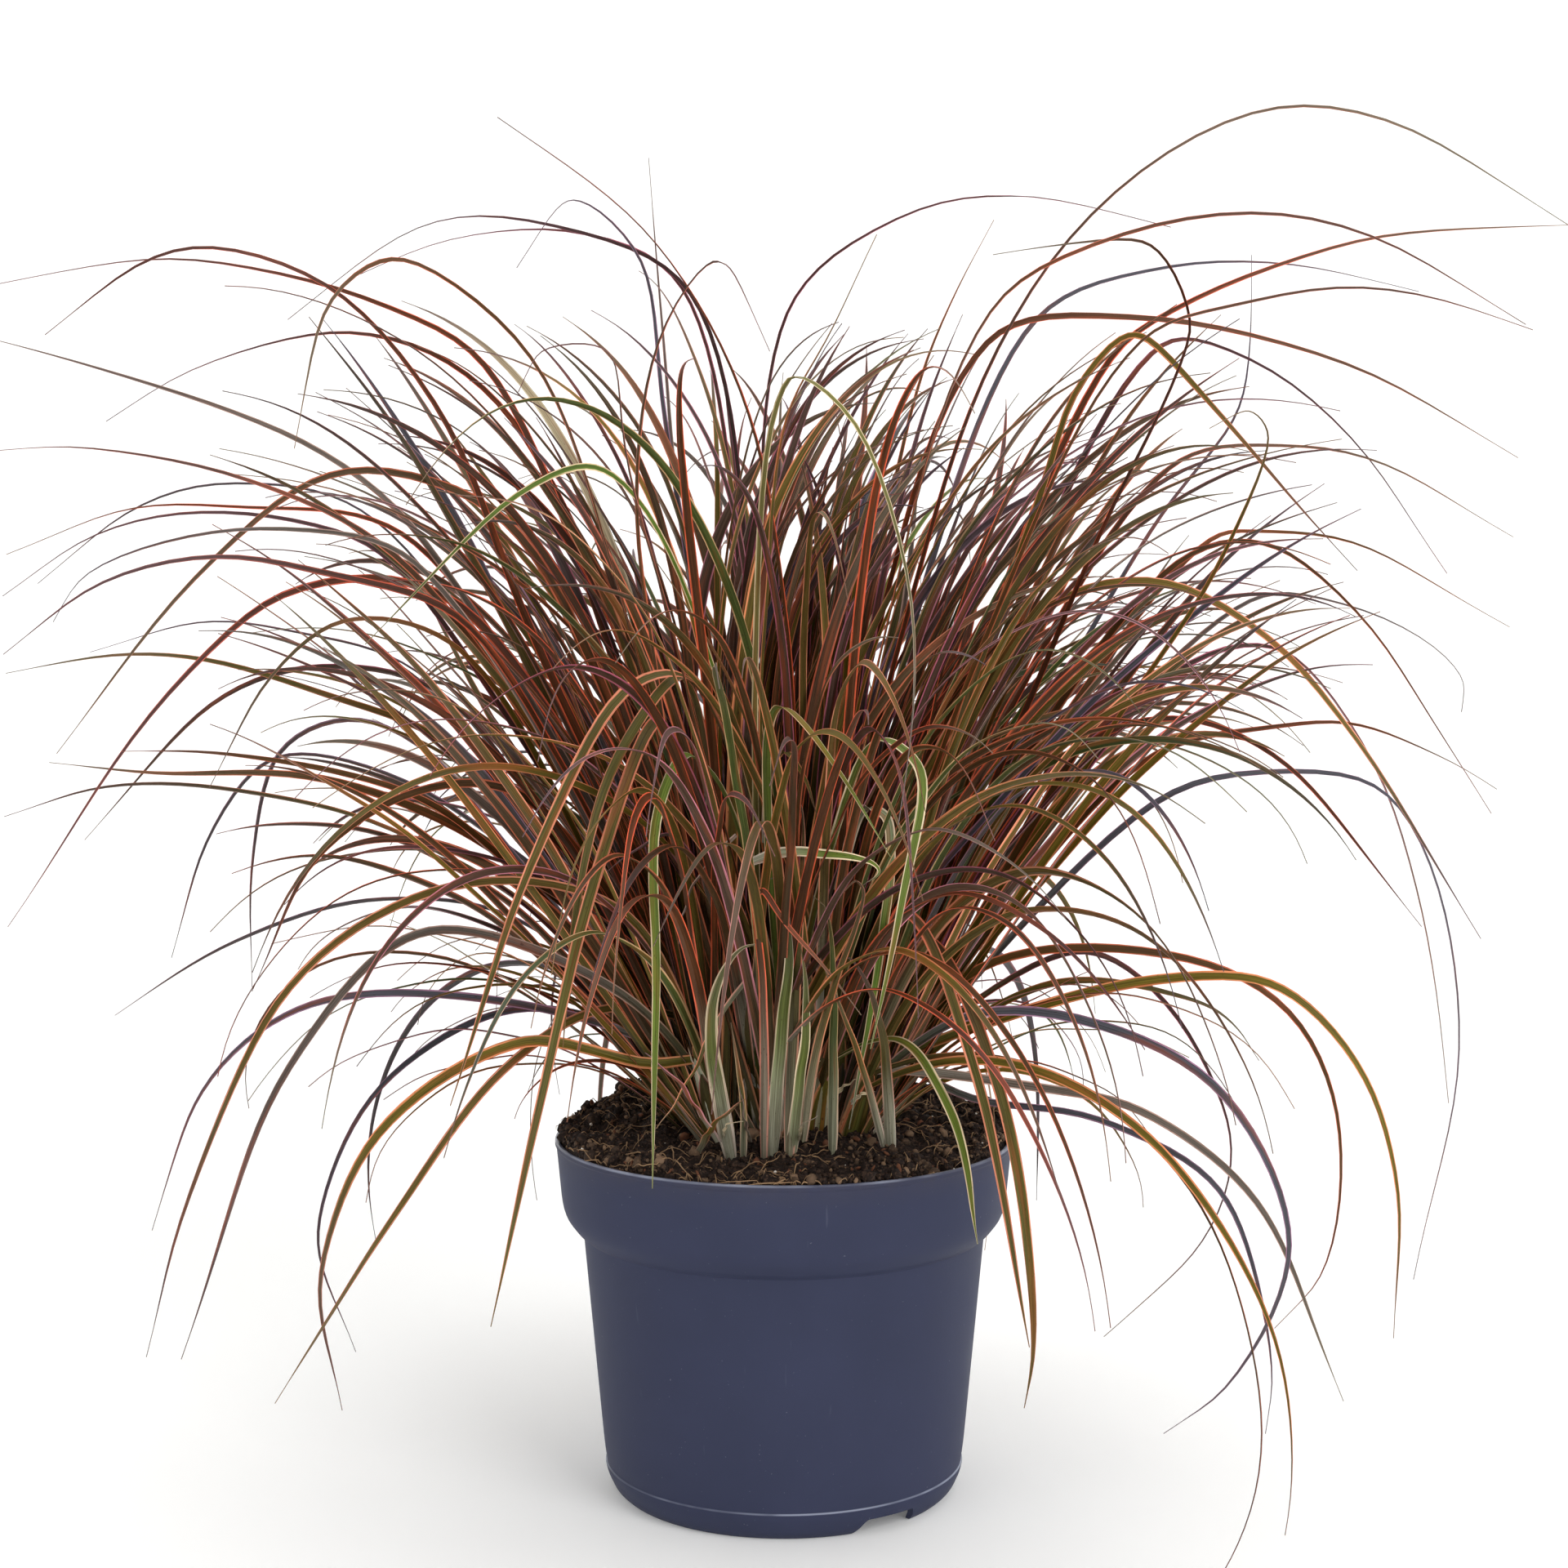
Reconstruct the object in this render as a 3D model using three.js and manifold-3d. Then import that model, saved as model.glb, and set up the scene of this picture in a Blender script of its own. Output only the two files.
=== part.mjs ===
// A potted red hook sedge: a nursery pot, its potting soil and a clump of leafy shoots.
// Millimetres, +Z up, origin on the floor under the middle of the pot, front towards -Y.

import * as THREE from 'three';
import Module from 'manifold-3d';
import { mergeVertices } from 'three/addons/utils/BufferGeometryUtils.js';

const wasm = await Module();
wasm.setup();

// Pot sizes
const rimRadius = 95;
const potHeight = 148;
const collarHeight = 40;
const collarFootRadius = 91.8;
const bodyTopRadius = 83.5;
const bodyFootRadius = 75.3;
const shoulderRadius = 74.4;
const shoulderHeight = 11;
const footRadius = 68.6;
const wallThickness = 2;
const potSides = 36;
const notchCount = 3;
const notchWidth = 28;
const notchHeight = 6.6;
const firstNotchAngle = -54.8;
const drainHoleRadius = 6;
const drainHoleCircle = 46;
const drainHoleCount = 5;

// Soil sizes
const soilGap = 0.35;
const soilMidHeight = 154;
const soilBackRise = 6;
const soilRagged = 2.2;
const soilSides = 30;

// Shoot sizes
const shootCount = 22;
const crownRadius = 40;
const sheathRadius = 5.4;
const sheathTopRadius = 3.6;
const sheathDepth = 24;
const sheathRise = 38;
const sheathLean = 22;
const holeGap = 0.4;
const sheathSides = 6;

// Leaf sizes
const bladeKeel = 1.1;
const bladeLeast = 0.62;
const taperPower = 2.6;
const tracedSteps = 7;
const drawnSteps = 6;
const bendWeight = 45;
const fusedSteps = 1;
const rootLength = 8;
const leafGap = 0.45;
const spreadX = 335;
const spreadY = 320;
const leastHeight = 9;
const fineSteps = 60;

// Drawn leaves: how many and how far, then the ranges of their forms in degrees and millimetres
const drawnRounds = 16;
const drawnTries = 24;
const drawnReachX = 235;
const drawnReachY = 312;
const drawnTop = 470;
const drawnLean = [-5, 17];
const drawnOuterLean = 30;
const drawnBend = [70, 145];
const drawnPower = [1.1, 2];
const drawnLength = [300, 510];
const drawnWidth = [3.2, 5];
const drawnDrift = [-20, 20];
const drawnTurn = [-55, 55];
const drawnTwist = [-50, 50];
const lowShare = 0.16;
const lowLean = 22;
const lowBend = 12;

// The viewpoint that the traced leaves were drawn from: its distance and height
const eyeDistance = 1100;
const eyeHeight = 382;

const degrees = Math.PI / 180;
const goldenAngle = 137.508 * degrees;

// One repeatable stream of draws between 0 and 1
let drawState = 7151;
function draw() {
  drawState = (drawState * 16807) % 2147483647;
  return drawState / 2147483647;
}

function drawFrom([low, high]) {
  return low + (high - low) * draw();
}

// Solids

function toSolid(geometry) {
  const bare = geometry.clone();
  bare.deleteAttribute('normal');
  bare.deleteAttribute('uv');
  const merged = mergeVertices(bare, 1e-4);
  return new wasm.Manifold(new wasm.Mesh({
    numProp: 3,
    vertProperties: new Float32Array(merged.attributes.position.array),
    triVerts: new Uint32Array(merged.index.array),
  }));
}

function toGeometry(solid) {
  const mesh = solid.getMesh();
  const geometry = new THREE.BufferGeometry();
  geometry.setAttribute('position', new THREE.BufferAttribute(new Float32Array(mesh.vertProperties), 3));
  geometry.setIndex(new THREE.BufferAttribute(new Uint32Array(mesh.triVerts), 1));
  geometry.computeVertexNormals();
  return geometry;
}

// The largest body of a solid: loose scraps and sealed hollows of a union are left out
function largestBody(solid) {
  return solid.decompose().reduce((best, body) => (body.volume() > best.volume() ? body : best));
}

// A profile of [radius, height] pairs turned about the Z axis
function revolve(profile, sides) {
  const points = profile.map(([radius, height]) => new THREE.Vector2(radius, height));
  const geometry = new THREE.LatheGeometry(points, sides);
  geometry.rotateX(Math.PI / 2);
  return geometry;
}

// An upright prism with a few sides, from one height to another
function post(radius, low, high, sides, x, y) {
  const geometry = new THREE.CylinderGeometry(radius, radius, high - low, sides);
  geometry.rotateX(Math.PI / 2);
  geometry.translate(x, y, (low + high) / 2);
  return geometry;
}

// Pot

function makePot() {
  const collarFoot = potHeight - collarHeight;
  const outer = [
    [footRadius, 0],
    [footRadius + 3, 2.6],
    [shoulderRadius - 0.6, shoulderHeight - 3],
    [shoulderRadius, shoulderHeight],
    [bodyFootRadius, shoulderHeight + 9],
    [bodyTopRadius, collarFoot],
    [collarFootRadius - 5.6, collarFoot + 2.6],
    [collarFootRadius, collarFoot + 9.6],
    [rimRadius, potHeight - 1],
    [rimRadius - 0.6, potHeight],
  ];
  const inner = [
    [rimRadius - wallThickness, potHeight],
    [collarFootRadius - wallThickness, collarFoot + 11],
    [bodyTopRadius - wallThickness, collarFoot + 1.5],
    [bodyFootRadius - wallThickness, shoulderHeight + 9],
    [shoulderRadius - wallThickness - 1, shoulderHeight + 1],
    [0, shoulderHeight + 1],
  ];
  const under = [
    [0, shoulderHeight - 1],
    [shoulderRadius - wallThickness - 0.4, shoulderHeight - 2],
    [footRadius - wallThickness + 2.4, 3],
    [footRadius - wallThickness - 0.2, 0],
  ];
  let pot = toSolid(revolve([...under, ...outer, ...inner], potSides));
  for (let i = 0; i < notchCount; i += 1) {
    pot = pot.subtract(toSolid(footNotch((firstNotchAngle + i * 360 / notchCount) * degrees)));
  }
  for (let i = 0; i < drainHoleCount; i += 1) {
    const angle = (i + 0.5) * 2 * Math.PI / drainHoleCount;
    const x = drainHoleCircle * Math.cos(angle);
    const y = drainHoleCircle * Math.sin(angle);
    pot = pot.subtract(toSolid(post(drainHoleRadius, 1, shoulderHeight + 8, 10, x, y)));
  }
  return pot;
}

// A slot through the foot skirt with one sloping side and a rounded top corner
function footNotch(angle) {
  const half = notchWidth / 2;
  const outline = new THREE.Shape();
  outline.moveTo(-half, -3);
  outline.lineTo(half, -3);
  outline.lineTo(half, 0.6);
  outline.lineTo(half - 2.6, notchHeight - 1);
  outline.lineTo(half - 4, notchHeight);
  outline.lineTo(-half + 1, notchHeight);
  outline.lineTo(-half, notchHeight - 1);
  const slot = new THREE.ExtrudeGeometry(outline, { depth: 30, bevelEnabled: false });
  slot.rotateX(Math.PI / 2);
  slot.translate(0, footRadius + 15, 0);
  slot.rotateZ(angle - Math.PI / 2);
  return slot;
}

// Shoots

// Where a shoot stands: shoots fill the crown evenly, one golden angle after another
function shootBase(index) {
  const share = Math.sqrt((index + 0.5) / shootCount);
  const angle = index * goldenAngle;
  const x = crownRadius * share * Math.cos(angle);
  const y = crownRadius * share * Math.sin(angle);
  const lean = sheathLean * share * degrees;
  return { index, share, angle, x, y, lean };
}

// A point up the middle of a shoot's sheath, at a rise over the soil
function sheathPoint(base, rise) {
  const out = Math.max(rise, 0) * Math.tan(base.lean);
  const x = base.x + out * Math.cos(base.angle);
  const y = base.y + out * Math.sin(base.angle);
  return new THREE.Vector3(x, y, soilMidHeight + rise);
}

const shoots = Array.from({ length: shootCount }, (_, index) => shootBase(index));

// A closed six-sided form up a shoot's middle, from rings of [rise, radius]
function sheathForm(base, rings) {
  const place = [];
  const faces = [];
  rings.forEach(([rise, radius], ring) => {
    const middle = sheathPoint(base, rise);
    for (let side = 0; side < sheathSides; side += 1) {
      const angle = base.angle + side * 2 * Math.PI / sheathSides;
      place.push(middle.x + radius * Math.cos(angle), middle.y + radius * Math.sin(angle), middle.z);
      const a = ring * sheathSides + side;
      const b = ring * sheathSides + (side + 1) % sheathSides;
      if (ring < rings.length - 1) faces.push(a, b, b + sheathSides, a, b + sheathSides, a + sheathSides);
    }
  });
  const top = (rings.length - 1) * sheathSides;
  for (let side = 1; side < sheathSides - 1; side += 1) {
    faces.push(0, side + 1, side, top, top + side, top + side + 1);
  }
  const geometry = new THREE.BufferGeometry();
  geometry.setAttribute('position', new THREE.Float32BufferAttribute(place, 3));
  geometry.setIndex(faces);
  return geometry;
}

// Soil

// Height of the soil's surface: level in the crown, ragged and higher at the back edge
function soilTop(radius, angle) {
  const edge = Math.max(0, (radius - 45) / 50);
  const waves = Math.sin(5 * angle + 1.3) + 0.7 * Math.sin(11 * angle);
  const ragged = waves + 0.5 * Math.sin(radius / 6 + 3 * angle);
  return soilMidHeight + edge * (soilBackRise * Math.sin(angle) + soilRagged * ragged - 1);
}

// The root ball's edge over the rim bulges a little in places
function soilEdge(angle) {
  return rimRadius - 3.6 + 1.8 * Math.sin(4 * angle + 0.7) + 1.1 * Math.sin(9 * angle);
}

function makeSoil() {
  const inside = wallThickness + soilGap;
  const collarFoot = potHeight - collarHeight;
  const profile = [
    [0, shoulderHeight + 1 + soilGap],
    [shoulderRadius - inside - 1.4, shoulderHeight + 1 + soilGap],
    [bodyFootRadius - inside, shoulderHeight + 9],
    [bodyTopRadius - inside, collarFoot + 1.5],
    [collarFootRadius - inside, collarFoot + 11],
    [rimRadius - inside - 0.3, potHeight + 1],
    [rimRadius - 3, potHeight + 5],
    [82, soilMidHeight],
    [64, soilMidHeight],
    [48, soilMidHeight],
    [0, soilMidHeight],
  ];
  const geometry = revolve(profile, soilSides);
  const place = geometry.attributes.position;
  for (let i = 0; i < place.count; i += 1) {
    const radius = Math.hypot(place.getX(i), place.getY(i));
    const angle = Math.atan2(place.getY(i), place.getX(i));
    if (place.getZ(i) > potHeight + 3 && radius > 1) {
      const rim = radius > 90;
      const reach = rim ? soilEdge(angle) / radius : 1;
      const drop = rim ? 4.5 : 0;
      place.setXYZ(i, place.getX(i) * reach, place.getY(i) * reach, soilTop(radius, angle) - drop);
    }
  }
  let soil = toSolid(geometry);
  for (const base of shoots) {
    const radius = sheathRadius + holeGap;
    const rings = [[-sheathDepth - holeGap, radius], [0, radius], [4, radius]];
    soil = soil.subtract(toSolid(sheathForm(base, rings)));
  }
  return soil;
}

// Leaves

// A smooth line through points, as closely spaced steps
function smoothLine(points) {
  const curve = new THREE.CatmullRomCurve3(points);
  return Array.from({ length: fineSteps + 1 }, (_, k) => curve.getPoint(k / fineSteps));
}

// The same line in a few steps, which are shorter where it bends more
function steppedLine(line, steps) {
  const run = [0];
  const weighted = [0];
  for (let i = 1; i < line.length; i += 1) {
    const piece = line[i].clone().sub(line[i - 1]);
    const bend = i > 1 ? piece.angleTo(line[i - 1].clone().sub(line[i - 2])) : 0;
    run.push(run[i - 1] + piece.length());
    weighted.push(weighted[i - 1] + piece.length() + bendWeight * bend);
  }
  const total = weighted[weighted.length - 1];
  const stepped = [];
  const shares = [];
  let j = 1;
  for (let k = 0; k <= steps; k += 1) {
    const target = total * k / steps;
    while (j < line.length - 1 && weighted[j] < target) j += 1;
    const part = (target - weighted[j - 1]) / (weighted[j] - weighted[j - 1]);
    stepped.push(line[j - 1].clone().lerp(line[j], part));
    shares.push((run[j - 1] + (run[j] - run[j - 1]) * part) / run[run.length - 1]);
  }
  return { line: stepped, shares };
}

// Half a blade's width at a share of its length: full near the root, drawn out to a fine tip
function halfWidth(width, share) {
  return 0.5 * width * Math.min(1, 0.72 + 2.4 * share) * (1 - share ** taperPower);
}

// A blade's way across at each step: level, square to its heading, then turned about its own line
function acrossAt({ line, shares }, heading, turn, twist) {
  const level = new THREE.Vector3(-Math.sin(heading), Math.cos(heading), 0);
  const last = line.length - 1;
  return line.map((point, i) => {
    const along = line[Math.min(i + 1, last)].clone().sub(line[Math.max(i - 1, 0)]).normalize();
    const across = level.clone().addScaledVector(along, -level.dot(along)).normalize();
    return across.applyAxisAngle(along, turn + twist * shares[i]);
  });
}

// A keeled blade: two edges and a keel at each step, closed at the root, pointed at the tip
function bladeGeometry(leaf) {
  const { line, shares, across, width } = leaf;
  const last = line.length - 1;
  const place = [];
  for (let i = 0; i < last; i += 1) {
    const along = line[i + 1].clone().sub(line[Math.max(i - 1, 0)]).normalize();
    const up = new THREE.Vector3().crossVectors(along, across[i]);
    const half = Math.max(halfWidth(width, shares[i]), 0.5 * bladeLeast);
    const keel = Math.max(bladeKeel * (1 - 0.5 * shares[i]), bladeLeast);
    const top = line[i].clone().addScaledVector(up, 0.4 * keel);
    place.push(...top.clone().addScaledVector(across[i], half).toArray());
    place.push(...top.clone().addScaledVector(across[i], -half).toArray());
    place.push(...line[i].clone().addScaledVector(up, -0.6 * keel).toArray());
  }
  place.push(...line[last].toArray());
  const faces = [0, 2, 1];
  for (let i = 0; i < last - 1; i += 1) {
    for (let side = 0; side < 3; side += 1) {
      const a = 3 * i + side;
      const b = 3 * i + (side + 1) % 3;
      faces.push(a, b, b + 3, a, b + 3, a + 3);
    }
  }
  for (let side = 0; side < 3; side += 1) {
    faces.push(3 * (last - 1) + side, 3 * (last - 1) + (side + 1) % 3, 3 * last);
  }
  const geometry = new THREE.BufferGeometry();
  geometry.setAttribute('position', new THREE.Float32BufferAttribute(place, 3));
  geometry.setIndex(faces);
  return geometry;
}

// Leaves leave their shoot one above another, in turn
function rootRise(base) {
  const own = placed.filter((leaf) => leaf.shoot === base.index).length;
  return rootLength + (sheathRise - rootLength - 2) * ((own * 0.618) % 1);
}

// A traced leaf keeps its outline as seen from the viewpoint, and runs back or forward to its depth
function tracedLeaf(row, base, shift) {
  const [width, depth, turn, ...outline] = row;
  const rise = rootRise(base);
  const root = sheathPoint(base, rise);
  const flat = [new THREE.Vector2(root.x, root.z)];
  for (let i = 0; i < outline.length; i += 2) flat.push(new THREE.Vector2(outline[i], outline[i + 1]));
  const run = [0];
  for (let i = 1; i < flat.length; i += 1) run.push(run[i - 1] + flat[i].distanceTo(flat[i - 1]));
  const tipDepth = depth + shift;
  const points = flat.map((point, i) => {
    const y = root.y + (tipDepth - root.y) * run[i] / run[run.length - 1];
    const scale = (y + eyeDistance) / eyeDistance;
    return new THREE.Vector3(point.x * scale, y, eyeHeight + (point.y - eyeHeight) * scale);
  });
  points[0] = root;
  const path = steppedLine(smoothLine([sheathPoint(base, rise - rootLength), ...points]), tracedSteps);
  const far = path.line[Math.ceil(tracedSteps / 2)];
  const heading = Math.atan2(far.y - root.y, far.x - root.x);
  const facing = Math.cos(heading) < 0 ? -turn : turn;
  return { shoot: base.index, width, ...path, across: acrossAt(path, heading, facing * degrees, 0) };
}

// A drawn leaf: it leans a little at its root and bends over more and more towards its tip
function drawnLeaf(base) {
  const sector = 32 + 115 * (1 - base.share);
  const heading = base.angle + drawFrom([-sector, sector]) * degrees;
  const low = draw() < lowShare * base.share ? 1 : 0;
  const lean = (drawnOuterLean * base.share + drawFrom(drawnLean) + low * lowLean) * degrees;
  const bend = (drawFrom(drawnBend) + low * lowBend) * degrees;
  const power = drawFrom(drawnPower);
  const step = drawFrom(drawnLength) / fineSteps;
  const drift = drawFrom(drawnDrift) * degrees;
  const width = drawFrom(drawnWidth);
  const turn = drawFrom(drawnTurn) * degrees;
  const twist = drawFrom(drawnTwist) * degrees;
  const place = sheathPoint(base, rootRise(base) - 0.5 * rootLength);
  const fine = [place.clone()];
  for (let k = 0; k < fineSteps; k += 1) {
    const share = (k + 0.5) / fineSteps;
    const tilt = lean + bend * share ** power;
    const bearing = heading + drift * share * share;
    place.x += Math.sin(tilt) * Math.cos(bearing) * step;
    place.y += Math.sin(tilt) * Math.sin(bearing) * step;
    place.z += Math.cos(tilt) * step;
    fine.push(place.clone());
  }
  const path = steppedLine(fine, drawnSteps);
  return { shoot: base.index, width, ...path, across: acrossAt(path, heading, turn, twist) };
}

// Room between shoots: each blade is held as three thick lines side by side

function thickLines(leaf) {
  const last = leaf.line.length - 1;
  const parts = [];
  for (let i = 0; i < last; i += 1) {
    const here = halfWidth(leaf.width, leaf.shares[i]);
    const next = halfWidth(leaf.width, leaf.shares[i + 1]);
    const radius = 0.38 * here + 0.2;
    for (const side of [-0.62, 0, 0.62]) {
      const start = leaf.line[i].clone().addScaledVector(leaf.across[i], side * here);
      const end = leaf.line[i + 1].clone().addScaledVector(leaf.across[i + 1], side * next);
      parts.push({ start, end, radius });
    }
  }
  return parts;
}

// The shortest way between two straight pieces
function wayBetween(a, b) {
  const alongA = a.end.clone().sub(a.start);
  const alongB = b.end.clone().sub(b.start);
  const apart = a.start.clone().sub(b.start);
  const aa = alongA.dot(alongA);
  const bb = alongB.dot(alongB);
  const ab = alongA.dot(alongB);
  const ac = alongA.dot(apart);
  const bc = alongB.dot(apart);
  const spread = aa * bb - ab * ab;
  let s = spread > 1e-9 ? THREE.MathUtils.clamp((ab * bc - ac * bb) / spread, 0, 1) : 0;
  let t = (ab * s + bc) / bb;
  if (t < 0) {
    t = 0;
    s = THREE.MathUtils.clamp(-ac / aa, 0, 1);
  } else if (t > 1) {
    t = 1;
    s = THREE.MathUtils.clamp((ab - ac) / aa, 0, 1);
  }
  return apart.addScaledVector(alongA, s).addScaledVector(alongB, -t).length();
}

function boxOf(parts) {
  const box = new THREE.Box3();
  for (const part of parts) box.expandByPoint(part.start).expandByPoint(part.end);
  return box.expandByScalar(3);
}

const placed = [];

// Clear of the soil, the pot, the floor and the set spread
function insideLimits(line) {
  return line.every((point, i) => {
    const radius = Math.hypot(point.x, point.y);
    if (Math.abs(point.x) > spreadX || Math.abs(point.y) > spreadY || point.z < leastHeight) return false;
    if (i === 0) return true;
    const before = line[i - 1];
    return [0.25, 0.5, 0.75, 1].every((share) => {
      const place = before.clone().lerp(point, share);
      const out = Math.hypot(place.x, place.y);
      return place.z > soilMidHeight + soilBackRise + 5 || out > rimRadius + 5 || out < crownRadius + 14;
    }) && (radius > rimRadius + 5 || point.z > soilMidHeight + 3);
  });
}

// Drawn leaves end within a round outline, seen from above, and none hangs down before the pot
function insideRound(point) {
  const scale = eyeDistance / (point.y + eyeDistance);
  const height = eyeHeight + (point.z - eyeHeight) * scale;
  const beforePot = Math.abs(point.x * scale) < rimRadius + 10 && height < potHeight;
  const round = (point.x / drawnReachX) ** 2 + (point.y / drawnReachY) ** 2 < 1;
  return round && point.z < drawnTop && !(point.y < -rimRadius && beforePot);
}

// Leaves of one shoot may meet near their roots, where they are fused with its sheath
function clearOfOthers(leaf, parts, box) {
  return placed.every((other) => {
    if (!other.box.intersectsBox(box)) return true;
    const own = other.shoot === leaf.shoot;
    if (own && other.sheath) return true;
    const skip = own ? 3 * fusedSteps : 0;
    return parts.every((a, i) => i < skip || other.parts.every((b, j) => (
      j < skip || wayBetween(a, b) > a.radius + b.radius + leafGap
    )));
  });
}

function tryLeaf(leaf) {
  if (!insideLimits(leaf.line)) return false;
  const parts = thickLines(leaf);
  const box = boxOf(parts);
  if (!clearOfOthers(leaf, parts, box)) return false;
  placed.push({ ...leaf, parts, box });
  return true;
}

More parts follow.
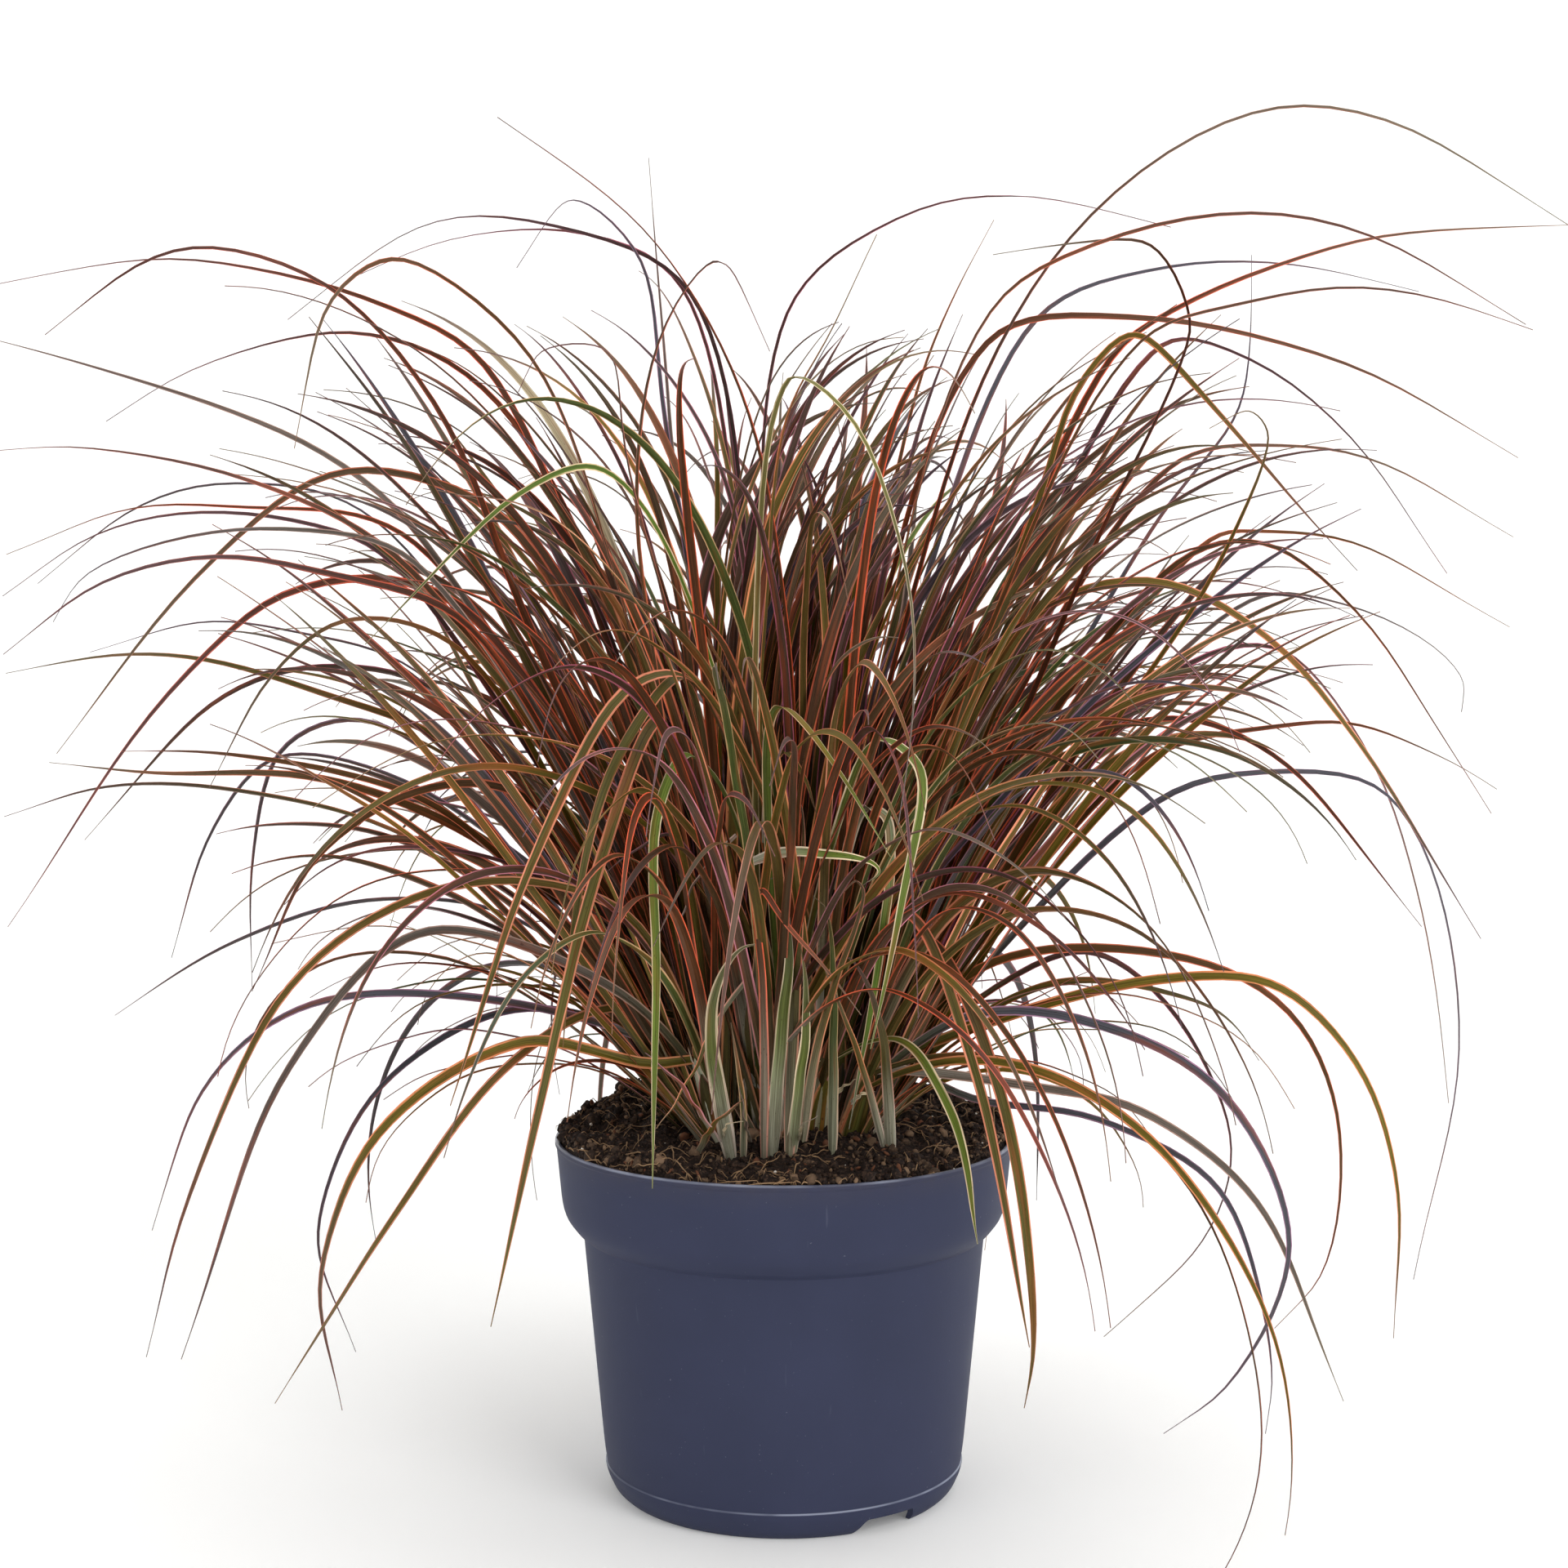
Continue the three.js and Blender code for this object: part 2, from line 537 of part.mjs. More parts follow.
// Leaves read off the plant by eye, seen from the front: width, depth of the tip, turn towards
// the viewer in degrees, then places across and up in pairs, root side first
const tracedLeaves = [
  // Right side, high
  [3.6, -110, 60, 82, 462, 127, 529, 193, 568, 243, 565, 318, 522],
  [3.4, -150, 60, 82, 486, 127, 515, 190, 527, 239, 518, 302, 482],
  [3.2, 170, 55, 100, 482, 150, 504, 203, 507, 258, 495],
  [4.2, 20, 60, 132, 468, 165, 491, 202, 506, 243, 518, 328, 522],
  [3.6, -130, 60, 143, 474, 188, 491, 228, 497, 264, 493, 305, 480],
  [4.2, -60, 60, 82, 475, 143, 485, 208, 473, 245, 460, 300, 428],
  [3.6, 120, 60, 153, 474, 188, 469, 234, 434, 272, 381],
  [5, -80, 65, 106, 416, 118, 454, 142, 478, 173, 451, 212, 407, 235, 382],
  [3.4, 40, 60, 158, 425, 207, 433, 244, 426, 299, 396],
  [3.4, 110, 60, 174, 395, 198, 398, 235, 393, 298, 359],
  [4, -100, 60, 137, 413, 160, 462, 166, 483, 150, 514, 113, 514, 85, 510],
  [2.8, 180, 50, 151, 400, 185, 446, 190, 475, 190, 510],
  // Right side, middle
  [4.4, -90, 60, 151, 341, 181, 390, 198, 437, 190, 447, 174, 440],
  [5, -70, 65, 99, 361, 151, 378, 199, 355, 233, 317, 289, 230],
  [3.6, 20, 55, 160, 385, 196, 394, 236, 364, 270, 317, 292, 282],
  [3.2, 90, 50, 190, 370, 230, 368, 267, 352, 280, 337, 279, 324],
  [3.4, 30, 55, 150, 305, 203, 318, 236, 319, 275, 304, 294, 292],
  [3.2, 70, 50, 156, 289, 205, 300, 245, 293, 270, 255, 281, 186, 264, 86],
  [4, -20, 60, 115, 304, 159, 322, 205, 304, 264, 235],
  [3.4, 110, 50, 160, 340, 203, 351, 240, 308, 263, 249, 277, 161],
  // Right side, low
  [4.8, -80, 60, 83, 194, 154, 213, 203, 211, 241, 174, 256, 126, 256, 61],
  [4.2, -30, 55, 83, 219, 168, 222, 209, 200, 231, 157, 226, 90, 206, 65],
  [4.2, -110, 60, 103, 168, 150, 157, 197, 120, 235, 34],
  [4.2, -140, 60, 77, 198, 132, 194, 181, 167, 212, 103, 187, 41, 160, 20],
  [3.4, -60, 55, 77, 163, 132, 154, 183, 123, 205, 47, 203, 20],
  [3, 40, 50, 120, 225, 151, 211, 186, 150, 176, 103, 134, 62],
  [3.8, 10, 60, 109, 211, 171, 204, 188, 193, 198, 179],
  // Left side, high
  [5, -100, 60, -100, 348, -141, 447, -182, 496, -231, 513, -259, 508, -301, 478],
  [3.6, 40, 55, -119, 463, -164, 490, -216, 505, -253, 509, -320, 498],
  [4.4, -140, 60, -87, 437, -115, 483, -157, 509, -184, 493, -200, 432],
  [2.8, 150, 50, -36, 493, -90, 521, -142, 524, -202, 484],
  [2.8, 200, 50, -40, 496, -82, 519, -134, 517, -172, 502],
  [3.4, 90, 55, -114, 448, -172, 479, -238, 465, -277, 443],
  [4, 0, 60, -147, 394, -182, 426, -225, 447, -322, 476, -334, 479],
  [4.4, -90, 60, -154, 384, -217, 418, -288, 433, -321, 431],
  [3.2, 70, 50, -154, 396, -225, 408, -270, 407, -319, 389],
  [3.4, 40, 50, -160, 385, -192, 401, -242, 406, -284, 396, -321, 372],
  [3, 110, -50, -170, 405, -226, 418, -265, 408, -306, 377],
  [3.8, -120, 60, -150, 385, -202, 399, -247, 396, -287, 380, -300, 361],
  [4.6, -150, 60, -130, 360, -187, 381, -232, 388, -281, 377, -321, 348],
  // Left side, middle
  [5, -50, 65, -107, 396, -153, 421, -190, 420, -238, 383, -300, 307],
  [4.8, -20, 60, -134, 369, -199, 375, -247, 339, -322, 235],
  [3.8, -80, 60, -134, 351, -179, 362, -211, 339, -237, 293],
  [2.6, 120, -50, -150, 340, -205, 358, -240, 361, -285, 349],
  [4.4, 10, 60, -134, 308, -192, 332, -238, 346, -271, 348, -320, 340],
  [4, 50, -55, -140, 331, -187, 343, -232, 330, -289, 271],
  [3.6, 90, -50, -150, 310, -181, 321, -208, 308, -220, 261, -221, 210],
  [4.4, -50, 60, -134, 279, -179, 298, -232, 307, -273, 308],
  [5, -10, 60, -120, 267, -187, 296, -259, 299, -303, 303],
  [4, 40, -55, -103, 241, -164, 276, -225, 292, -282, 293, -322, 281],
  [3.8, 100, -50, -150, 292, -208, 306, -237, 274, -254, 222],
  // Left side, low
  [4.8, -80, 60, -107, 289, -150, 292, -193, 264, -221, 208],
  [4.4, -110, 60, -66, 241, -134, 253, -202, 214, -250, 117, -268, 53],
  [3.6, 60, -50, -113, 239, -163, 247, -226, 230, -278, 198],
  [4.4, -150, 60, -66, 206, -149, 233, -205, 178, -253, 52],
  [4, -60, 55, -66, 191, -134, 206, -199, 202, -242, 167, -264, 107],
  [5, -100, 60, -56, 177, -108, 187, -167, 151, -194, 89, -186, 30],
  [4, -130, 60, -73, 201, -116, 176, -167, 107, -214, 33],
  [3.4, -30, 55, -108, 201, -165, 171, -195, 108, -180, 55],
  // Hanging over the front
  [4, -160, 20, -26, 294, -40, 307, -52, 284, -53, 214, -55, 125],
  [4.2, -190, 30, -18, 294, -39, 338, -63, 335, -102, 267, -139, 160],
  [4, -150, 30, -42, 338, -68, 307, -84, 256, -92, 184],
  [4.4, -210, 30, -51, 321, -77, 259, -100, 168, -123, 66],
  [3.4, -170, 20, -3, 326, 24, 298, 44, 264],
  [3.8, -200, 20, 38, 312, 56, 301, 50, 251, 36, 184],
  [4.2, -304, 10, 1, 460, 27, 446, 51, 380, 54, 329, 47, 278],
  [3.6, -180, 30, 47, 188, 71, 154, 81, 101],
  [4, -200, 30, 50, 241, 80, 173, 103, 57],
  [4.4, -160, 40, 59, 229, 90, 166, 105, 58, 101, 31],
  // Top of the clump
  [4.8, -80, 60, 0, 373, -18, 455, -52, 516, -116, 565],
  [3.2, 120, 50, -49, 447, -59, 510, -86, 532, -109, 505],
  [3.4, -150, 40, -60, 402, -51, 477, -26, 508, -6, 471],
  [2.8, 170, 30, -45, 425, -48, 462, -55, 549],
  [3.2, -130, 50, 0, 440, 19, 480, 38, 518],
  [3, 120, 50, 52, 448, 69, 493, 85, 524],
  [3, 80, 55, 0, 486, 45, 524, 89, 534, 157, 521],
  [3.6, -170, 50, -65, 432, -72, 471, -98, 472, -108, 455],
  [4.8, -130, 70, -43, 381, -75, 424, -105, 416, -172, 352],
];

// Sheaths take up room too
for (const base of shoots) {
  const start = sheathPoint(base, -sheathDepth);
  const middle = sheathPoint(base, 0);
  const end = sheathPoint(base, sheathRise);
  const parts = [
    { start, end: middle, radius: sheathRadius },
    { start: middle, end, radius: sheathRadius },
  ];
  placed.push({ shoot: base.index, sheath: true, parts, box: boxOf(parts) });
}

// A traced leaf grows from the shoot that lies its way, at the first depth where it is clear
function placeTraced(row) {
  const [, depth, , x, z] = row;
  const heading = Math.atan2(depth * 0.5, x);
  const slope = Math.atan2(Math.abs(x), z - soilMidHeight);
  const reach = crownRadius * Math.min(1, slope / (55 * degrees));
  const aim = new THREE.Vector2(reach * Math.cos(heading), reach * Math.sin(heading));
  const near = shoots.slice().sort((a, b) => (
    aim.distanceTo(new THREE.Vector2(a.x, a.y)) - aim.distanceTo(new THREE.Vector2(b.x, b.y))
  ));
  for (let step = 0; step < 21; step += 1) {
    const shift = Math.ceil(step / 2) * (step % 2 ? 9 : -9);
    for (const base of near.slice(0, 4)) {
      if (tryLeaf(tracedLeaf(row, base, shift))) return;
    }
  }
}

for (const row of tracedLeaves) placeTraced(row);
for (let round = 0; round < drawnRounds; round += 1) {
  for (const base of shoots) {
    for (let attempt = 0; attempt < drawnTries; attempt += 1) {
      const leaf = drawnLeaf(base);
      if (leaf.line.every(insideRound) && tryLeaf(leaf)) break;
    }
  }
}
// A shoot: wrapped sheaths as a tapered stem, with its leaves sunk well into it
function makeShoot(base) {
  const rings = [[-sheathDepth, sheathRadius], [0, sheathRadius], [sheathRise, sheathTopRadius]];
  let solid = toSolid(sheathForm(base, rings));
  for (const leaf of placed) {
    if (leaf.shoot === base.index && !leaf.sheath) solid = solid.add(toSolid(bladeGeometry(leaf)));
  }
  return largestBody(solid);
}

// Assembly

function addPart(group, name, solid, color, roughness) {
  const material = new THREE.MeshStandardMaterial({ color, roughness, metalness: 0 });
  const mesh = new THREE.Mesh(toGeometry(solid), material);
  mesh.name = name;
  group.add(mesh);
}

const group = new THREE.Group();
addPart(group, 'pot', makePot(), '#41455a', 0.5);
addPart(group, 'potting_soil', makeSoil(), '#2a211b', 0.95);
const shootColors = ['#6e3a26', '#55472a', '#7a4632', '#4b4430'];
for (const base of shoots) {
  const name = `sedge_shoot_${String(base.index + 1).padStart(2, '0')}`;
  addPart(group, name, makeShoot(base), shootColors[base.index % shootColors.length], 0.55);
}

export default group;
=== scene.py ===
import math

import bpy
import numpy as np
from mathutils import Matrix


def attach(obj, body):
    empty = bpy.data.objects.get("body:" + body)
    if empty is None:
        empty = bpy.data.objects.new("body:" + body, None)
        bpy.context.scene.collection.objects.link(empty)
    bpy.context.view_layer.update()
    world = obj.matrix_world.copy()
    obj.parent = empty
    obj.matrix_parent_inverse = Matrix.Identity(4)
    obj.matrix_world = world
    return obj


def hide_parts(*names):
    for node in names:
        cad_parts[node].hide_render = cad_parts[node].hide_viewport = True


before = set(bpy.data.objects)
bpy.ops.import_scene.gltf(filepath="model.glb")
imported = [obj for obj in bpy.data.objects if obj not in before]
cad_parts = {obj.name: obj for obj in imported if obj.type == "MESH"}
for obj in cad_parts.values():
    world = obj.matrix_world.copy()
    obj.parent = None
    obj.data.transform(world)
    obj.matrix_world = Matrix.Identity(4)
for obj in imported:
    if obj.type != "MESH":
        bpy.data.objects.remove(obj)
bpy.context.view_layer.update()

# A potted red hook sedge. Shapes are worked out in millimetres and turned to metres when a piece is made.
mm = 0.001
degrees = math.pi / 180
goldenAngle = 137.508 * degrees
goldenShare = 0.618


# Helpers

def toLinear(hexColor):
    # sRGB to linear: ((c + 0.055) / 1.055) ^ 2.4 above 0.04045, and c / 12.92 below it
    srgb = np.array([int(hexColor[i:i + 2], 16) for i in (1, 3, 5)]) / 255
    linear = np.where(srgb > 0.04045, ((srgb + 0.055) / 1.055) ** 2.4, srgb / 12.92)
    return np.append(linear, 1.0)


def addNode(tree, kind, inputs=None, take=0, **settings):
    # one shader node: inputs are values or the sockets that feed it, take is the output that it hands on, and
    # settings are its properties
    node = tree.nodes.new("ShaderNode" + kind)
    for name, value in settings.items():
        setattr(node, name, value)
    for name, value in (inputs or {}).items():
        if isinstance(value, bpy.types.NodeSocket):
            tree.links.new(value, node.inputs[name])
        else:
            node.inputs[name].default_value = value
    return node.outputs[take] if len(node.outputs) else None


def newMaterial(name, finish):
    # an opaque finish; its values sit on the shader's own sockets
    material = bpy.data.materials.new(name)
    material.use_nodes = True
    tree = material.node_tree
    tree.nodes.clear()
    surface = addNode(tree, "BsdfPrincipled", finish)
    addNode(tree, "OutputMaterial", {"Surface": surface})
    return material, tree, surface.node


def finishShader(tree, shader, color, relief, strength, depth):
    # joins the colour and a relief so many millimetres deep to the shader
    tree.links.new(color, shader.inputs["Base Color"])
    bump = addNode(tree, "Bump", {"Height": relief, "Strength": strength, "Distance": depth * mm})
    tree.links.new(bump, shader.inputs["Normal"])


def makePiece(name, points, faces, material, colors=None, uv=None, sharpAngle=None):
    # a mesh from points (n, 3) in mm and blocks of faces (k, 3) or (k, 4); colours and uv are given per point
    corners = np.concatenate([block.ravel() for block in faces]).astype(np.int32)
    sizes = np.concatenate([np.full(len(block), block.shape[1]) for block in faces])
    starts = np.concatenate([[0], np.cumsum(sizes)[:-1]]).astype(np.int32)
    mesh = bpy.data.meshes.new(name)
    mesh.vertices.add(len(points))
    mesh.vertices.foreach_set("co", (np.asarray(points) * mm).astype(np.float32).ravel())
    mesh.loops.add(len(corners))
    mesh.loops.foreach_set("vertex_index", corners)
    mesh.polygons.add(len(sizes))
    mesh.polygons.foreach_set("loop_start", starts)
    mesh.polygons.foreach_set("use_smooth", np.ones(len(sizes), bool))
    mesh.update(calc_edges=True)
    for layer, values in (colors or {}).items():
        kind, part = ("FLOAT", "value") if values.ndim == 1 else ("FLOAT_COLOR", "color")
        attribute = mesh.attributes.new(layer, kind, "POINT")
        attribute.data.foreach_set(part, values.astype(np.float32).ravel())
    if uv is not None:
        layer = mesh.uv_layers.new(name="blade")
        layer.data.foreach_set("uv", uv[corners].astype(np.float32).ravel())
    if sharpAngle:
        mesh.set_sharp_from_angle(angle=sharpAngle * degrees)
    mesh.materials.append(material)
    piece = bpy.data.objects.new(name, mesh)
    bpy.context.scene.collection.objects.link(piece)
    return piece


def settle(piece, slot, *nodes):
    # every piece is part of the one body that stands on the floor
    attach(piece, "root")
    if nodes:
        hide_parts(*nodes)


def gridFaces(rows, columns):
    # quads of a grid of points, row by row, closed round
    i, j = np.meshgrid(np.arange(rows - 1), np.arange(columns), indexing="ij")
    k = (j + 1) % columns
    here, above = i * columns, (i + 1) * columns
    return np.stack([here + j, here + k, above + k, above + j], axis=-1).reshape(-1, 4)


def turned(radius, height, around):
    # points round an upright line: x = r cos a, y = r sin a, one row of them for each radius and height
    return np.stack([radius * np.cos(around), radius * np.sin(around), height + 0 * around], axis=-1)


def smoothStep(value, low, high):
    # 0 below low, 1 above high, and 3t^2 - 2t^3 between
    t = np.clip((value - low) / (high - low), 0, 1)
    return t * t * (3 - 2 * t)


def runAlong(line):
    # the way gone along a line at each of its points
    return np.append(0, np.cumsum(np.linalg.norm(np.diff(line, axis=0), axis=1)))


# Camera, floor and light

stage = {
    "eyeDistance": 1100, "eyeHeight": 382, "pitchDown": 4.556, "lens": 61.4, "sensor": 36,
    "floorRadius": 2600, "bendRadius": 1500, "wallHeight": 3600, "floorColor": "#f6f6f5", "glow": 0.13,
    "floorColumns": 96, "floorSteps": 12, "bendSteps": 16, "floorSunk": 0.05, "world": 0.36,
    # soft boxes: place in metres, side in metres, watts, and what they face
    "lights": {
        "keySoftBox": ((1.5, -2.0, 1.7), 1.5, 34, (0, 0, 0.3)),
        "fillSoftBox": ((-1.9, -1.7, 1.2), 1.5, 6, (0, 0, 0.3)),
        "topSoftBox": ((0.1, 0.3, 2.6), 2.0, 30, (0, 0, 0.3)),
        "backdropLeft": ((-1.9, 1.7, 1.3), 1.2, 15, (-0.6, 4.2, 1.2)),
        "backdropRight": ((1.9, 1.7, 1.3), 1.2, 15, (0.6, 4.2, 1.2)),
    },
}


def makeCamera():
    data = bpy.data.cameras.new("photoCamera")
    data.sensor_width = stage["sensor"]
    data.lens = stage["lens"]
    data.clip_end = 50
    camera = bpy.data.objects.new("photoCamera", data)
    camera.location = (0, -stage["eyeDistance"] * mm, stage["eyeHeight"] * mm)
    camera.rotation_euler = ((90 - stage["pitchDown"]) * degrees, 0, 0)
    bpy.context.scene.collection.objects.link(camera)
    bpy.context.scene.camera = camera


def makeFloor():
    # a level disc that bends up all round into a wall: radius and height follow a quarter circle
    arc = np.linspace(0, math.pi / 2, stage["bendSteps"])
    flat = np.linspace(1, stage["floorRadius"], stage["floorSteps"])[:-1]
    radius = np.concatenate([flat, stage["floorRadius"] + stage["bendRadius"] * np.sin(arc)])
    height = np.concatenate([0 * flat, stage["bendRadius"] * (1 - np.cos(arc))])
    radius = np.append(radius, radius[-1])
    height = np.append(height, stage["wallHeight"])
    count = stage["floorColumns"]
    around = np.linspace(0, 2 * math.pi, count, endpoint=False)
    points = turned(radius[:, None], height[:, None] - stage["floorSunk"], around).reshape(-1, 3)
    # matt white paper that glows faintly, so that it reads as evenly lit
    color = toLinear(stage["floorColor"])
    finish = {"Base Color": color, "Roughness": 0.9}
    finish.update({"Emission Color": color, "Emission Strength": stage["glow"]})
    material = newMaterial("litWhitePaper", finish)[0]
    middle = np.arange(count)[None, ::-1]
    floor = makePiece("paperFloor", points, [gridFaces(len(radius), count), middle], material)


def addLight(name, place, size, watts, target):
    # a square soft box, turned to face its target
    data = bpy.data.lights.new(name, "AREA")
    data.size = size
    data.energy = watts
    light = bpy.data.objects.new(name, data)
    light.location = place
    aim = np.array(target) - np.array(place)
    flat = math.hypot(aim[0], aim[1])
    light.rotation_euler = (math.atan2(flat, -aim[2]), 0, math.atan2(aim[1], aim[0]) - math.pi / 2)
    light.visible_camera = False
    bpy.context.scene.collection.objects.link(light)


def makeLight():
    world = bpy.data.worlds.new("studio")
    bpy.context.scene.world = world
    world.use_nodes = True
    background = world.node_tree.nodes["Background"]
    background.inputs["Color"].default_value = (1, 1, 1, 1)
    background.inputs["Strength"].default_value = stage["world"]
    for name, values in stage["lights"].items():
        addLight(name, *values)
    bpy.context.scene.view_settings.view_transform = "Standard"


makeCamera()
makeFloor()
makeLight()
print("camera, floor and light made")


# Pot

pot = {
    "rimRadius": 95, "height": 148, "collarHeight": 40, "collarFootRadius": 91.8, "bodyTopRadius": 83.5,
    "bodyFootRadius": 75.3, "shoulderRadius": 74.4, "shoulderHeight": 11, "footRadius": 68.6, "wall": 2,
    "notchAngle": -54.8, "notchCount": 3, "notchHalf": 14, "notchHeight": 6.6, "skirtHeight": 9.6,
    "drainRadius": 6, "drainCircle": 46, "drainCount": 5, "drainSides": 24, "drainPost": (3, 20),
    "sharpAngle": 50,
    # a notch's softer slope and its shorter one, in mm beyond and inside its half width
    "notchSoft": (1.5, 5), "notchShort": (1, 2.6),
    # how finely it is divided: steps in a rounding, longest straight step, columns all round and at a notch
    "roundSteps": 5, "longestStep": 7, "columns": 160, "notchColumns": 15, "notchSpan": 5.5,
    "swell": 0.05,
}


def roundedOutline(corners):
    # corners of [radius, height, rounding]: each is a quadratic curve (1-t)^2 a + 2t(1-t) b + t^2 c, which
    # begins and ends at most 0.48 of a side away from it
    spots = np.array([corner[:2] for corner in corners], float)
    line = [spots[:1]]
    t = np.linspace(0, 1, pot["roundSteps"] + 1)[:, None]
    for before, here, after, corner in zip(spots, spots[1:], spots[2:], corners[1:]):
        back = before - here
        onward = after - here
        a = here + back * min(0.48, corner[2] / np.linalg.norm(back))
        c = here + onward * min(0.48, corner[2] / np.linalg.norm(onward))
        line.append((1 - t) ** 2 * a + 2 * t * (1 - t) * here + t * t * c)
    line.append(spots[-1:])
    return np.concatenate(line)


def addSteps(line, longest):
    # the same outline with its long straight stretches split
    pieces = [line[:1]]
    for a, b in zip(line, line[1:]):
        count = max(1, math.ceil(np.linalg.norm(b - a) / longest))
        pieces.append(a + (b - a) * np.linspace(0, 1, count + 1)[1:, None])
    return np.concatenate(pieces)


def notchLift(angle):
    # how far the skirt's lower edge is lifted: a soft slope at one side and a short one at the other
    lift = 0 * angle
    for i in range(pot["notchCount"]):
        middle = (pot["notchAngle"] + i * 360 / pot["notchCount"]) * degrees
        away = (angle - middle + math.pi) % (2 * math.pi) - math.pi
        along = away * pot["footRadius"]
        half = pot["notchHalf"]
        rise = smoothStep(along, -half - pot["notchSoft"][0], -half + pot["notchSoft"][1])
        rise = rise * (1 - smoothStep(along, half - pot["notchShort"][1], half + pot["notchShort"][0]))
        lift = np.maximum(lift, pot["notchHeight"] * rise)
    return lift


def makePotMesh():
    # the outline turned about Z, with more columns where the notches begin and end
    top, wall = pot["height"], pot["wall"]
    collarFoot = top - pot["collarHeight"]
    ledge = pot["shoulderHeight"]
    foot, shoulder, body = pot["footRadius"], pot["shoulderRadius"], pot["bodyTopRadius"]
    bodyFoot, collar, rim = pot["bodyFootRadius"], pot["collarFootRadius"], pot["rimRadius"]
    corners = [
        [0, ledge - 1, 0],
        [shoulder - wall - 0.6, ledge - 1.6, 1.2],
        [foot - wall + 2.2, 3, 2],
        [foot - wall - 0.2, 0, 0.6],
        [foot, 0, 0.8],
        [foot + 3, 2.6, 2.2],
        [shoulder - 0.2, ledge - 2.6, 2],
        [shoulder + 0.5, ledge + 0.5, 0.5],
        [shoulder - 0.1, ledge + 1.1, 0.3],
        [bodyFoot + 0.1, ledge + 9, 7],
        [body, collarFoot + 0.4, 0.5],
        [body + 0.5, collarFoot + 0.7, 0.4],
        [collar - 5.4, collarFoot + 2.6, 1],
        [collar + 0.1, collarFoot + 9.6, 7],
        [rim - 0.5, top - 3, 1],
        [rim - 0.3, top - 2.5, 0.3],
        [rim + 0.1, top - 2.1, 0.3],
        [rim + 0.1, top, 0.9],
        [rim - wall, top, 0.9],
        [collar - wall, collarFoot + 11, 3],
        [body - wall, collarFoot + 1.5, 1],
        [bodyFoot - wall, ledge + 9, 5],
        [shoulder - wall - 1, ledge + 1, 1.5],
        [0, ledge + 1, 0],
    ]
    line = addSteps(roundedOutline(corners), pot["longestStep"])
    line[[0, -1], 0] = 0.01
    columns = [np.linspace(0, 2 * math.pi, pot["columns"], endpoint=False)]
    atNotch = np.linspace(-pot["notchSpan"], pot["notchSpan"], pot["notchColumns"])
    for i in range(pot["notchCount"]):
        middle = (pot["notchAngle"] + i * 360 / pot["notchCount"]) * degrees
        half = pot["notchHalf"] / foot
        for side in (-half, half):
            columns.append(np.mod(middle + side + atNotch / foot, 2 * math.pi))
    around = np.unique(np.round(np.concatenate(columns), 4))
    radius = np.repeat(line[:, :1], len(around), axis=1)
    height = np.repeat(line[:, 1:], len(around), axis=1)
    # over a notch the skirt's points are squeezed upwards, each along its own side of the wall
    lifted = notchLift(around)[None, :]
    squeezed = lifted + height * (1 - lifted / pot["skirtHeight"])
    footRow = np.argmax((line[:, 1] < 0.9) & (line[:, 0] > foot - 0.9))
    innerFoot, outerFoot = line[1:footRow][::-1], line[footRow:footRow + 30]
    innerRadius = np.interp(squeezed, innerFoot[:, 1], innerFoot[:, 0])
    outerRadius = np.interp(squeezed, outerFoot[:, 1], outerFoot[:, 0])
    isOuter = (np.arange(len(line)) >= footRow)[:, None]
    onSkirt = (height < pot["skirtHeight"] - 0.6) & (radius > foot - wall - 2)
    radius = np.where(onSkirt & (lifted > 0), np.where(isOuter, outerRadius, innerRadius), radius)
    height = np.where(onSkirt, squeezed, height)
    # a moulded wall is never quite round: it swells a few hundredths of a millimetre, twice round
    swell = pot["swell"] * np.sin(2 * around + 0.6)[None, :] * smoothStep(height, 20, 80)
    points = turned(radius + swell, height, around).reshape(-1, 3)
    count = len(around)
    ends = [np.arange(count)[None, ::-1], (len(line) - 1) * count + np.arange(count)[None, :]]
    return points, [gridFaces(len(line), count), *ends]


def cutDrainHoles(piece):
    # round posts through the pot's floor, taken away by one Boolean and then removed
    sides = pot["drainSides"]
    turn = np.linspace(0, 2 * math.pi, sides, endpoint=False)
    ring = np.stack([pot["drainRadius"] * np.cos(turn), pot["drainRadius"] * np.sin(turn)], axis=-1)
    points, faces = [], []
    for i in range(pot["drainCount"]):
        angle = (i + 0.5) * 2 * math.pi / pot["drainCount"]
        middle = pot["drainCircle"] * np.array([math.cos(angle), math.sin(angle)])
        for height in pot["drainPost"]:
            points.append(np.column_stack([ring + middle, np.full(sides, height)]))
        first = 2 * sides * i
        faces.append(gridFaces(2, sides) + first)
        faces.append(first + np.arange(sides)[None, ::-1])
        faces.append(first + sides + np.arange(sides)[None, :])
    cutter = makePiece("drainCutter", np.concatenate(points), faces, piece.data.materials[0])
    cut = piece.modifiers.new("drainHoles", "BOOLEAN")
    cut.operation = "DIFFERENCE"
    cut.solver = "EXACT"
    cut.object = cutter
    depsgraph = bpy.context.evaluated_depsgraph_get()
    made = bpy.data.meshes.new_from_object(piece.evaluated_get(depsgraph))
    piece.modifiers.clear()
    piece.data = made
    bpy.data.objects.remove(cutter)


